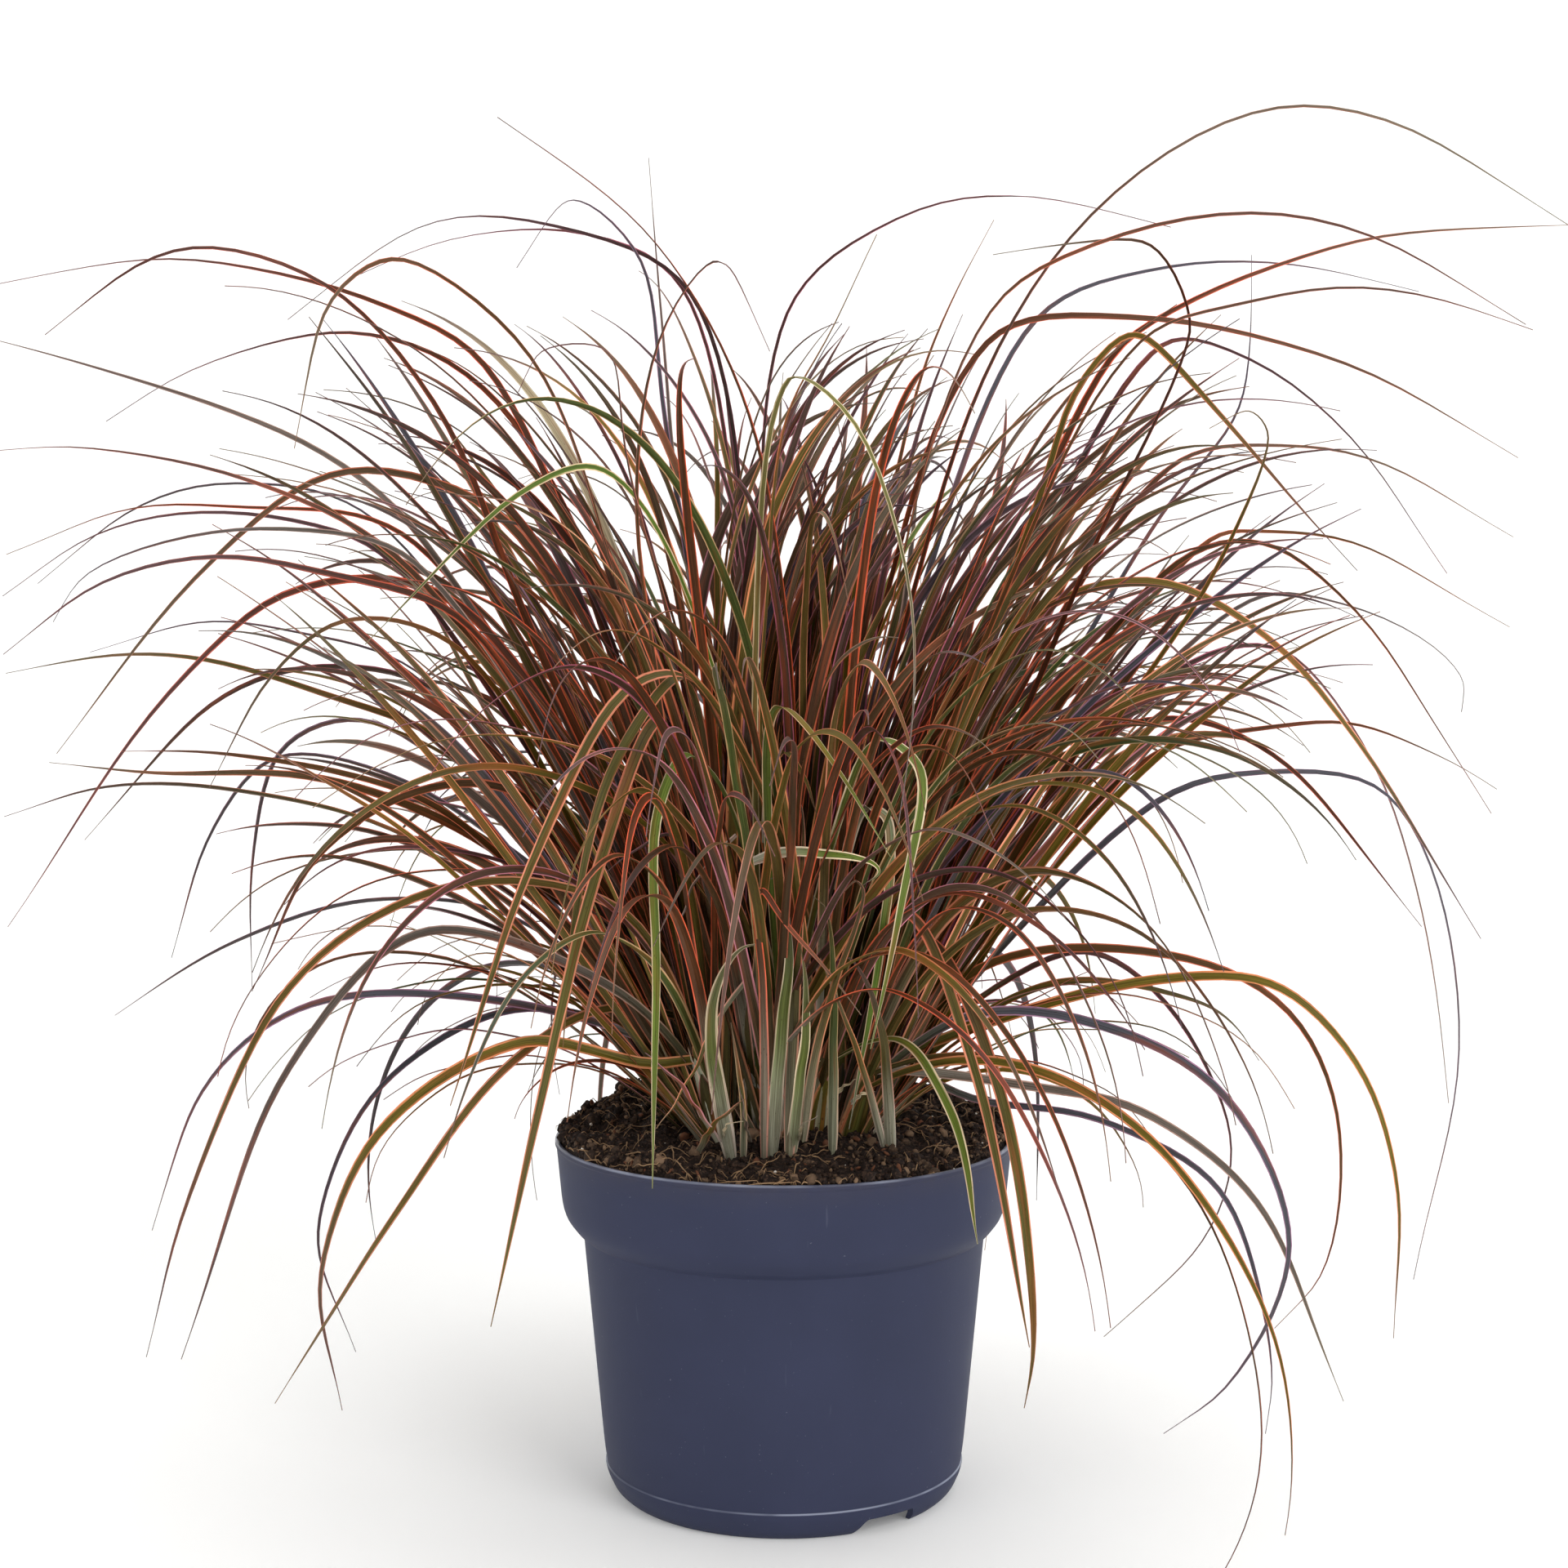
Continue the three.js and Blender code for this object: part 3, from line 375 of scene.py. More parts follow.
def polypropyleneMaterial():
    # moulded polypropylene, slate blue: an even satin skin with a fine moulding grain, faint scuffs and dust
    material, tree, shader = newMaterial("mouldedPolypropylene", {"IOR": 1.49, "Specular IOR Level": 0.1})
    place = addNode(tree, "TexCoord", take="Object")
    height = addNode(tree, "SeparateXYZ", {0: place}, "Z")
    noises = {
        name: addNode(tree, "TexNoise", {"Vector": place, "Scale": 1 / (size * mm), "Detail": detail})
        for name, size, detail in (("clouds", 45, 3), ("film", 6, 5), ("highlightBreaks", 26, 2), ("grain", 0.7, 2))}
    color = addNode(tree, "Mix", {
        0: noises["clouds"], 6: toLinear("#33374c"), 7: toLinear("#3b3f57")}, 2, data_type="RGBA")
    # scuffs: long thin marks 2.2 mm wide, from noise stretched about twelve times along a slanted line; then
    # dust: pale specks about a millimetre apart, coarser than real dust so that they show
    slanted = addNode(tree, "Mapping", {"Vector": place, "Rotation": (0.35, 0.2, 0.5), "Scale": (1, 1, 0.08)})
    for where, size, detail, low, high, most, shade in (
            (slanted, 2.2, 1.5, 0.74, 0.86, 0.16, "#8b8d9b"), (place, 1.1, 1, 0.76, 0.84, 0.3, "#9a9aa4")):
        marks = addNode(tree, "TexNoise", {"Vector": where, "Scale": 1 / (size * mm), "Detail": detail})
        share = addNode(tree, "MapRange", {"Value": marks, "From Min": low, "From Max": high, "To Max": most})
        color = addNode(tree, "Mix", {0: share, 6: color, 7: toLinear(shade)}, 2, data_type="RGBA")
    # soil washed over the rim dries in a thin uneven film on the top centimetre
    nearRim = addNode(tree, "MapRange", {
        "Value": height, "From Min": 137 * mm, "From Max": 149 * mm, "To Max": 0.55})
    filmShare = addNode(tree, "Math", {0: nearRim, 1: noises["film"]}, operation="MULTIPLY")
    color = addNode(tree, "Mix", {0: filmShare, 6: color, 7: toLinear("#4a4548")}, 2, data_type="RGBA")
    # a painted highlight along the lip and the skirt's ledge: a paler line in broken lengths that stands in
    # for the top light caught there, and the same line made smoother
    highlightBreakShare = addNode(tree, "MapRange", {
        "Value": noises["highlightBreaks"], "From Min": 0.42, "From Max": 0.62, "To Min": 0.15, "To Max": 0.75})
    lines = []
    for middle, reach in ((pot["height"] + 0.1, 1.1), (pot["shoulderHeight"] + 0.85, 0.4)):
        away = addNode(tree, "Math", {0: height, 1: middle * mm}, operation="SUBTRACT")
        size = addNode(tree, "Math", {0: away}, operation="ABSOLUTE")
        lines.append(addNode(tree, "MapRange", {
            "Value": size, "From Min": reach * mm, "From Max": reach * 0.4 * mm}))
    onLine = addNode(tree, "Math", {0: lines[0], 1: lines[1]}, operation="MAXIMUM")
    paintedHighlightLine = addNode(tree, "Math", {0: onLine, 1: highlightBreakShare}, operation="MULTIPLY")
    # the pale blue-grey here is the painted highlight on the lip and the ledge
    color = addNode(tree, "Mix", {0: paintedHighlightLine, 6: color, 7: toLinear("#9da3b6")}, 2, data_type="RGBA")
    rough = addNode(tree, "MapRange", {
        "Value": noises["clouds"], "From Min": 0.3, "From Max": 0.7, "To Min": 0.5, "To Max": 0.6})
    smoother = addNode(tree, "Mix", {0: onLine, 2: rough, 3: 0.22})
    tree.links.new(smoother, shader.inputs["Roughness"])
    finishShader(tree, shader, color, noises["grain"], 0.12, 0.05)
    return material


potPoints, potFaces = makePotMesh()
potPiece = makePiece("nurseryPot", potPoints, potFaces, polypropyleneMaterial())
cutDrainHoles(potPiece)
potPiece.data.set_sharp_from_angle(angle=pot["sharpAngle"] * degrees)
settle(potPiece, "pot_plastic", "pot")
print("pot made:", len(potPiece.data.polygons), "faces")


# Where leaves run: the same rule and the same draws as the CAD model's, so that every blade keeps its form

clump = {
    "seed": 7151, "shootCount": 22, "crownRadius": 40,
    "soilHeight": 154, "soilBackRise": 6, "soilRagged": 2.2, "sheathRadius": 5.4, "sheathTopRadius": 3.6,
    "sheathDepth": 24, "sheathRise": 38, "sheathLean": 22,
    "rootLength": 8, "bendWeight": 45, "taperPower": 2.6, "fineSteps": 60, "tracedSteps": 7, "drawnSteps": 6,
    "leafGap": 0.45, "spreadX": 335, "spreadY": 320, "leastHeight": 9,
    "rounds": 16, "tries": 24, "reachX": 235, "reachY": 312, "top": 470,
    "lean": (-5, 17), "outerLean": 30, "bend": (70, 145), "power": (1.1, 2), "length": (300, 510),
    "width": (3.2, 5), "drift": (-20, 20), "turn": (-55, 55), "twist": (-50, 50),
    "lowShare": 0.16, "lowLean": 22, "lowBend": 12, "sector": (32, 115), "hangingDepth": -150,
    # room kept at the rim, the soil, the crown's edge and before the pot, and round a leaf for a first test
    "rimClear": 5, "soilClear": 3, "crownClear": 14, "frontClear": 10, "boxMargin": 3,
    # a traced leaf: how much its depth turns its heading, the slope that brings it from the crown's edge, and
    # how many shoots and depths are tried
    "headingDepth": 0.5, "edgeSlope": 55, "nearShoots": 4, "depthTries": 21, "depthStep": 9,
}


def drawStream(state):
    # one repeatable stream of draws between 0 and 1: state = state x 16807 modulo 2^31 - 1
    while True:
        state = state * 16807 % 2147483647
        yield state / 2147483647


draws = drawStream(clump["seed"])


def drawFrom(span):
    return span[0] + (span[1] - span[0]) * next(draws)


def shootBase(index):
    # shoots fill the crown evenly, one golden angle after another, and lean out more towards its edge
    share = math.sqrt((index + 0.5) / clump["shootCount"])
    angle = index * goldenAngle
    x = clump["crownRadius"] * share * math.cos(angle)
    y = clump["crownRadius"] * share * math.sin(angle)
    return {"index": index, "share": share, "angle": angle, "x": x, "y": y,
            "lean": clump["sheathLean"] * share * degrees}


def sheathPoint(base, rise):
    # a place on the middle line of a shoot's stem, so many millimetres above or below the soil
    out = np.maximum(rise, 0) * math.tan(base["lean"])
    x, y = base["x"] + out * math.cos(base["angle"]), base["y"] + out * math.sin(base["angle"])
    return np.array([x, y, clump["soilHeight"] + rise])


def smoothLine(points):
    # a centripetal curve through the points, at even steps of its parameter
    last = len(points) - 1
    padded = np.vstack([2 * points[0] - points[1], points, 2 * points[-1] - points[-2]])
    place = np.linspace(0, last, clump["fineSteps"] + 1)
    first = np.minimum(place.astype(int), last - 1)
    t = (place - first)[:, None]
    a, b, c, d = (padded[first + i] for i in range(4))
    before, here, after = (np.sum((q - p) ** 2, axis=1)[:, None] ** 0.25 for p, q in ((a, b), (b, c), (c, d)))
    leave = ((b - a) / before - (c - a) / (before + here) + (c - b) / here) * here
    arrive = ((c - b) / here - (d - b) / (here + after) + (d - c) / after) * here
    square, cube = 3 * (c - b) - 2 * leave - arrive, 2 * (b - c) + leave + arrive
    return b + leave * t + square * t ** 2 + cube * t ** 3


def steppedLine(line, steps):
    # the same line in fewer steps, shorter where it bends: each counts its length + 45 x its bend in radians
    piece = np.diff(line, axis=0)
    length = np.linalg.norm(piece, axis=1)
    way = piece / length[:, None]
    bend = np.append(0, np.arccos(np.clip(np.sum(way[1:] * way[:-1], axis=1), -1, 1)))
    run = np.append(0, np.cumsum(length))
    weighted = np.append(0, np.cumsum(length + clump["bendWeight"] * bend))
    target = weighted[-1] * np.arange(steps + 1) / steps
    j = np.clip(np.searchsorted(weighted, target), 1, len(line) - 1)
    part = (target - weighted[j - 1]) / (weighted[j] - weighted[j - 1])
    shares = (run[j - 1] + (run[j] - run[j - 1]) * part) / run[-1]
    return line[j - 1] + (line[j] - line[j - 1]) * part[:, None], shares


def halfWidth(width, share):
    # full near the root, drawn out to a fine tip: w / 2 x min(1, 0.72 + 2.4 s) x (1 - s^2.6)
    return 0.5 * width * np.minimum(1, 0.72 + 2.4 * share) * (1 - share ** clump["taperPower"])


def alongAt(line):
    # the way a line runs at each of its points
    along = np.vstack([line[1] - line[0], line[2:] - line[:-2], line[-1] - line[-2]])
    return along / np.linalg.norm(along, axis=1)[:, None]


def acrossAt(line, shares, leaf):
    # a blade's way across: level, square to its heading, then turned about its own line
    along = alongAt(line)
    level = np.array([-math.sin(leaf["heading"]), math.cos(leaf["heading"]), 0])
    across = level - along * (along @ level)[:, None]
    across /= np.linalg.norm(across, axis=1)[:, None]
    angle = (leaf["turn"] + leaf["twist"] * shares)[:, None]
    return across * np.cos(angle) + np.cross(along, across) * np.sin(angle)


placed = []


def rootRise(base):
    # leaves leave their shoot one above another, in turn
    own = sum(leaf["shoot"] == base["index"] for leaf in placed)
    return clump["rootLength"] + (clump["sheathRise"] - clump["rootLength"] - 2) * ((own * goldenShare) % 1)


def toDepth(flat, depth):
    # places in the picture plane moved to their depth, so that they look the same from the viewpoint
    scale = (depth + stage["eyeDistance"]) / stage["eyeDistance"]
    height = stage["eyeHeight"] + (flat[:, 1] - stage["eyeHeight"]) * scale
    return np.stack([flat[:, 0] * scale, depth, height], axis=-1)


def seenPlaces(line):
    # where a line is seen in the picture plane: the reverse of the above
    x, y, z = line.T
    scale = stage["eyeDistance"] / (y + stage["eyeDistance"])
    return x * scale, stage["eyeHeight"] + (z - stage["eyeHeight"]) * scale


hangingTones = ("cream", "coral", "lime", "straw")


def withSteps(leaf, steps):
    leaf["line"], leaf["shares"] = steppedLine(leaf["fine"], steps)
    return leaf


def tracedLeaf(row, base, shift):
    # keeps its outline as seen from the viewpoint, and runs back or forward to its depth
    tone, width, depth, turn, *outline = row
    rise = rootRise(base)
    root = sheathPoint(base, rise)
    flat = np.vstack([root[[0, 2]], np.reshape(outline, (-1, 2))])
    run = runAlong(flat)
    points = toDepth(flat, root[1] + (depth + shift - root[1]) * run / run[-1])
    points[0] = root
    leaf = {"shoot": base["index"], "tone": tone, "width": width, "twist": 0,
            "fine": smoothLine(np.vstack([sheathPoint(base, rise - clump["rootLength"]), points])),
            "hanging": depth <= clump["hangingDepth"] and tone in hangingTones}
    withSteps(leaf, clump["tracedSteps"])
    far = leaf["line"][math.ceil(clump["tracedSteps"] / 2)]
    leaf["heading"] = math.atan2(far[1] - root[1], far[0] - root[0])
    leaf["turn"] = (-turn if math.cos(leaf["heading"]) < 0 else turn) * degrees
    return leaf


def archedLine(start, heading, form):
    # leans a little at its root and bends over towards its tip: tilt = lean + bend x share^power
    share = (np.arange(clump["fineSteps"]) + 0.5) / clump["fineSteps"]
    tilt = form["lean"] + form["bend"] * share ** form["power"]
    bearing = heading + form["drift"] * share ** 2
    step = np.stack([np.sin(tilt) * np.cos(bearing), np.sin(tilt) * np.sin(bearing), np.cos(tilt)], axis=-1)
    return np.vstack([start, start + np.cumsum(step * form["length"] / clump["fineSteps"], axis=0)])


def archedLeaf(base, start, heading, ranges, draw, low=0):
    # draws from its ranges in this order; shoots nearer the edge lean out more, and a low leaf further still
    lean = draw(ranges["lean"]) + ranges["outerLean"] * base["share"] + low * clump["lowLean"]
    form = {
        "lean": lean * degrees,
        "bend": (draw(ranges["bend"]) + low * clump["lowBend"]) * degrees,
        "power": draw(ranges["power"]),
        "length": draw(ranges["length"]),
        "drift": draw(ranges["drift"]) * degrees,
    }
    return {"shoot": base["index"], "tone": None, "heading": heading,
            "fine": archedLine(start, heading, form), "width": draw(ranges["width"]),
            "turn": draw(ranges["turn"]) * degrees, "twist": draw(ranges["twist"]) * degrees}


def drawnLeaf(base):
    # a leaf by the seeded rule: it heads outwards from its stem
    sector = clump["sector"][0] + clump["sector"][1] * (1 - base["share"])
    heading = base["angle"] + drawFrom((-sector, sector)) * degrees
    low = int(next(draws) < clump["lowShare"] * base["share"])
    start = sheathPoint(base, rootRise(base) - 0.5 * clump["rootLength"])
    return withSteps(archedLeaf(base, start, heading, clump, drawFrom, low), clump["drawnSteps"])


# Room between leaves: each blade is held as three thick lines side by side

room = {name: np.zeros((0, 3)) for name in ("start", "end", "low", "high")}
room.update(radius=np.zeros(0), shoot=np.zeros(0, int), sheath=np.zeros(0, bool), early=np.zeros(0, bool))


def thickLines(leaf):
    # three lines per step at -0.62, 0 and 0.62 of the half width, each 0.38 x that half width + 0.2 thick
    line = leaf["line"]
    across = acrossAt(line, leaf["shares"], leaf)
    half = halfWidth(leaf["width"], leaf["shares"])[:, None, None]
    side = np.array([-0.62, 0, 0.62])[None, :, None]
    beside = line[:, None, :] + across[:, None, :] * half * side
    radius = np.repeat(0.38 * half[:-1, 0, 0] + 0.2, 3)
    return {"start": beside[:-1].reshape(-1, 3), "end": beside[1:].reshape(-1, 3), "radius": radius,
            "early": np.arange(len(radius)) < 3}


def boxOf(parts):
    # the box round some thick lines, a little wider on every side
    both = np.vstack([parts["start"], parts["end"]])
    return both.min(axis=0) - clump["boxMargin"], both.max(axis=0) + clump["boxMargin"]


def takeRoom(parts, shoot, sheath=False):
    low, high = boxOf(parts)
    count = len(parts["radius"])
    added = {**parts, "shoot": np.full(count, shoot), "sheath": np.full(count, sheath),
             "low": np.tile(low, (count, 1)), "high": np.tile(high, (count, 1))}
    for name in room:
        room[name] = np.concatenate([room[name], added[name]])


def insideLimits(line):
    # clear of the soil, the pot, the floor and the set spread
    x, y, z = line.T
    if np.any((np.abs(x) > clump["spreadX"]) | (np.abs(y) > clump["spreadY"]) | (z < clump["leastHeight"])):
        return False
    parts = np.array([0.25, 0.5, 0.75, 1])[None, :, None]
    along = line[:-1, None] + (line[1:] - line[:-1])[:, None] * parts
    out = np.hypot(along[..., 0], along[..., 1])
    rim = pot["rimRadius"] + clump["rimClear"]
    overPot = along[..., 2] > clump["soilHeight"] + clump["soilBackRise"] + clump["rimClear"]
    beside = (out > rim) | (out < clump["crownRadius"] + clump["crownClear"])
    ends = (np.hypot(x, y)[1:] > rim) | (z[1:] > clump["soilHeight"] + clump["soilClear"])
    return bool(np.all(overPot | beside) and np.all(ends))


def insideRound(line):
    # drawn leaves end within a round outline, seen from above, and none hangs down before the pot
    x, y, z = line.T
    seenX, seenZ = seenPlaces(line)
    beforePot = (y < -pot["rimRadius"]) & (seenZ < pot["height"])
    beforePot &= np.abs(seenX) < pot["rimRadius"] + clump["frontClear"]
    inRound = (x / clump["reachX"]) ** 2 + (y / clump["reachY"]) ** 2 < 1
    return bool(np.all((z < clump["top"]) & inRound & ~beforePot))


def clearOfOthers(parts, shoot, gap):
    # the shortest way between every two straight pieces is longer than both radii and the gap
    low, high = boxOf(parts)
    near = np.all((room["low"] <= high) & (room["high"] >= low), axis=1)
    near &= ~((room["shoot"] == shoot) & room["sheath"])
    reach = (room["radius"] + parts["radius"].max() + gap)[:, None]
    least = np.minimum(room["start"], room["end"]) - reach
    most = np.maximum(room["start"], room["end"]) + reach
    near &= np.all((least <= high - clump["boxMargin"]) & (most >= low + clump["boxMargin"]), axis=1)
    if not near.any():
        return True
    start, end = room["start"][near], room["end"][near]
    alongA, alongB = parts["end"] - parts["start"], end - start
    apart = parts["start"][:, None] - start[None]
    aa, bb = np.sum(alongA ** 2, axis=1)[:, None], np.sum(alongB ** 2, axis=1)[None]
    ab = alongA @ alongB.T
    ac = np.einsum("ik,ijk->ij", alongA, apart)
    bc = np.einsum("jk,ijk->ij", alongB, apart)
    spread = aa * bb - ab ** 2
    s = np.where(spread > 1e-9, np.clip((ab * bc - ac * bb) / np.maximum(spread, 1e-9), 0, 1), 0)
    t = (ab * s + bc) / bb
    s = np.where(t < 0, np.clip(-ac / aa, 0, 1), np.where(t > 1, np.clip((ab - ac) / aa, 0, 1), s))
    t = np.clip(t, 0, 1)
    away = apart + alongA[:, None] * s[..., None] - alongB[None] * t[..., None]
    tight = np.sum(away ** 2, axis=-1) <= (parts["radius"][:, None] + room["radius"][near][None] + gap) ** 2
    # leaves of one shoot may meet near their roots
    own = room["shoot"][near][None] == shoot
    tight &= ~(own & (parts["early"][:, None] | room["early"][near][None]))
    return not tight.any()


def tryLeaf(leaf, gap=clump["leafGap"], hiddenSteps=0):
    # hiddenSteps: how many of its first steps aren't tested
    if not insideLimits(leaf["line"]):
        return False
    parts = thickLines(leaf)
    tested = {name: values[3 * hiddenSteps:] for name, values in parts.items()}
    if not clearOfOthers(tested, leaf["shoot"], gap):
        return False
    placed.append(leaf)
    takeRoom(parts, leaf["shoot"])
    return True


# Leaves read off the plant, seen from the front: tone, width, depth of the tip, turn towards
# the viewer in degrees, then places across and up in pairs, root side first
tracedLeaves = [
    # Right side, high
    ["red", 3.6, -110, 60, 82, 462, 127, 529, 193, 568, 243, 565, 318, 522],
    ["brown", 3.4, -150, 60, 82, 486, 127, 515, 190, 527, 239, 518, 302, 482],
    ["slate", 3.2, 170, 55, 100, 482, 150, 504, 203, 507, 258, 495],
    ["red", 4.2, 20, 60, 132, 468, 165, 491, 202, 506, 243, 518, 328, 522],
    ["brown", 3.6, -130, 60, 143, 474, 188, 491, 228, 497, 264, 493, 305, 480],
    ["red", 4.2, -60, 60, 82, 475, 143, 485, 208, 473, 245, 460, 300, 428],
    ["plum", 3.6, 120, 60, 153, 474, 188, 469, 234, 434, 272, 381],
    ["olive", 5, -80, 65, 106, 416, 118, 454, 142, 478, 173, 451, 212, 407, 235, 382],
    ["red", 3.4, 40, 60, 158, 425, 207, 433, 244, 426, 299, 396],
    ["brown", 3.4, 110, 60, 174, 395, 198, 398, 235, 393, 298, 359],
    ["red", 4, -100, 60, 137, 413, 160, 462, 166, 483, 150, 514, 113, 514, 85, 510],
    ["slate", 2.8, 180, 50, 151, 400, 185, 446, 190, 475, 190, 510],
    # Right side, middle
    ["olive", 4.4, -90, 60, 151, 341, 181, 390, 198, 437, 190, 447, 174, 440],
    ["salmon", 5, -70, 65, 99, 361, 151, 378, 199, 355, 233, 317, 289, 230],
    ["brown", 3.6, 20, 55, 160, 385, 196, 394, 236, 364, 270, 317, 292, 282],
    ["grey", 3.2, 90, 50, 190, 370, 230, 368, 267, 352, 280, 337, 279, 324],
    ["brown", 3.4, 30, 55, 150, 305, 203, 318, 236, 319, 275, 304, 294, 292],
    ["slate", 3.2, 70, 50, 156, 289, 205, 300, 245, 293, 270, 255, 281, 186, 264, 86],
    ["red", 4, -20, 60, 115, 304, 159, 322, 205, 304, 264, 235],
    ["plum", 3.4, 110, 50, 160, 340, 203, 351, 240, 308, 263, 249, 277, 161],
    # Right side, low
    ["olive", 4.8, -80, 60, 83, 194, 154, 213, 203, 211, 241, 174, 256, 126, 256, 61],
    ["brown", 4.2, -30, 55, 83, 219, 168, 222, 209, 200, 231, 157, 226, 90, 206, 65],
    ["grey", 4.2, -110, 60, 103, 168, 150, 157, 197, 120, 235, 34],
    ["slate", 4.2, -140, 60, 77, 198, 132, 194, 181, 167, 212, 103, 187, 41, 160, 20],
    ["slate", 3.4, -60, 55, 77, 163, 132, 154, 183, 123, 205, 47, 203, 20],
    ["plum", 3, 40, 50, 120, 225, 151, 211, 186, 150, 176, 103, 134, 62],
    ["olive", 3.8, 10, 60, 109, 211, 171, 204, 188, 193, 198, 179],
    # Left side, high
    ["red", 5, -100, 60, -100, 348, -141, 447, -182, 496, -231, 513, -259, 508, -301, 478],
    ["red", 3.6, 40, 55, -119, 463, -164, 490, -216, 505, -253, 509, -320, 498],
    ["brown", 4.4, -140, 60, -87, 437, -115, 483, -157, 509, -184, 493, -200, 432],
    ["plum", 2.8, 150, 50, -36, 493, -90, 521, -142, 524, -202, 484],
    ["plum", 2.8, 200, 50, -40, 496, -82, 519, -134, 517, -172, 502],
    ["red", 3.4, 90, 55, -114, 448, -172, 479, -238, 465, -277, 443],
    ["grey", 4, 0, 60, -147, 394, -182, 426, -225, 447, -322, 476, -334, 479],
    ["brown", 4.4, -90, 60, -154, 384, -217, 418, -288, 433, -321, 431],
    ["red", 3.2, 70, 50, -154, 396, -225, 408, -270, 407, -319, 389],
    ["plum", 3.4, 40, 50, -160, 385, -192, 401, -242, 406, -284, 396, -321, 372],
    ["slate", 3, 110, -50, -170, 405, -226, 418, -265, 408, -306, 377],
    ["grey", 3.8, -120, 60, -150, 385, -202, 399, -247, 396, -287, 380, -300, 361],
    ["red", 4.6, -150, 60, -130, 360, -187, 381, -232, 388, -281, 377, -321, 348],
    # Left side, middle
    ["brown", 5, -50, 65, -107, 396, -153, 421, -190, 420, -238, 383, -300, 307],
    ["red", 4.8, -20, 60, -134, 369, -199, 375, -247, 339, -322, 235],
    ["olive", 3.8, -80, 60, -134, 351, -179, 362, -211, 339, -237, 293],
    ["slate", 2.6, 120, -50, -150, 340, -205, 358, -240, 361, -285, 349],
    ["olive", 4.4, 10, 60, -134, 308, -192, 332, -238, 346, -271, 348, -320, 340],
    ["plum", 4, 50, -55, -140, 331, -187, 343, -232, 330, -289, 271],
    ["slate", 3.6, 90, -50, -150, 310, -181, 321, -208, 308, -220, 261, -221, 210],
    ["brown", 4.4, -50, 60, -134, 279, -179, 298, -232, 307, -273, 308],
    ["brown", 5, -10, 60, -120, 267, -187, 296, -259, 299, -303, 303],
    ["olive", 4, 40, -55, -103, 241, -164, 276, -225, 292, -282, 293, -322, 281],
    ["slate", 3.8, 100, -50, -150, 292, -208, 306, -237, 274, -254, 222],
    # Left side, low
    ["brown", 4.8, -80, 60, -107, 289, -150, 292, -193, 264, -221, 208],
    ["salmon", 4.4, -110, 60, -66, 241, -134, 253, -202, 214, -250, 117, -268, 53],
    ["slate", 3.6, 60, -50, -113, 239, -163, 247, -226, 230, -278, 198],
    ["grey", 4.4, -150, 60, -66, 206, -149, 233, -205, 178, -253, 52],
    ["slate", 4, -60, 55, -66, 191, -134, 206, -199, 202, -242, 167, -264, 107],
    ["olive", 5, -100, 60, -56, 177, -108, 187, -167, 151, -194, 89, -186, 30],
    ["salmon", 4, -130, 60, -73, 201, -116, 176, -167, 107, -214, 33],
    ["slate", 3.4, -30, 55, -108, 201, -165, 171, -195, 108, -180, 55],
    # Hanging over the front
    ["cream", 4, -160, 20, -26, 294, -40, 307, -52, 284, -53, 214, -55, 125],
    ["coral", 4.2, -190, 30, -18, 294, -39, 338, -63, 335, -102, 267, -139, 160],
    ["coral", 4, -150, 30, -42, 338, -68, 307, -84, 256, -92, 184],
    ["coral", 4.4, -210, 30, -51, 321, -77, 259, -100, 168, -123, 66],
    ["lime", 3.4, -170, 20, -3, 326, 24, 298, 44, 264],
    ["cream", 3.8, -200, 20, 38, 312, 56, 301, 50, 251, 36, 184],
    ["sand", 2.7, -304, 10, 1, 460, 27, 446, 51, 380, 54, 329, 47, 278],
    ["cream", 3.6, -180, 30, 47, 188, 71, 154, 81, 101],
    ["coral", 4, -200, 30, 50, 241, 80, 173, 103, 57],
    ["coral", 4.4, -160, 40, 59, 229, 90, 166, 105, 58, 101, 31],
    # Top of the clump
    ["red", 4.8, -80, 60, 0, 373, -18, 455, -52, 516, -116, 565],
    ["slate", 3.2, 120, 50, -49, 447, -59, 510, -86, 532, -109, 505],
    ["brown", 3.4, -150, 40, -60, 402, -51, 477, -26, 508, -6, 471],
    ["grey", 2.8, 170, 30, -45, 425, -48, 462, -55, 549],
    ["olive", 3.2, -130, 50, 0, 440, 19, 480, 38, 518],
    ["brown", 3, 120, 50, 52, 448, 69, 493, 85, 524],
    ["plum", 3, 80, 55, 0, 486, 45, 524, 89, 534, 157, 521],
    ["brown", 3.6, -170, 50, -65, 432, -72, 471, -98, 472, -108, 455],
    ["lime", 4.8, -130, 70, -43, 381, -75, 424, -105, 416, -172, 352],
]

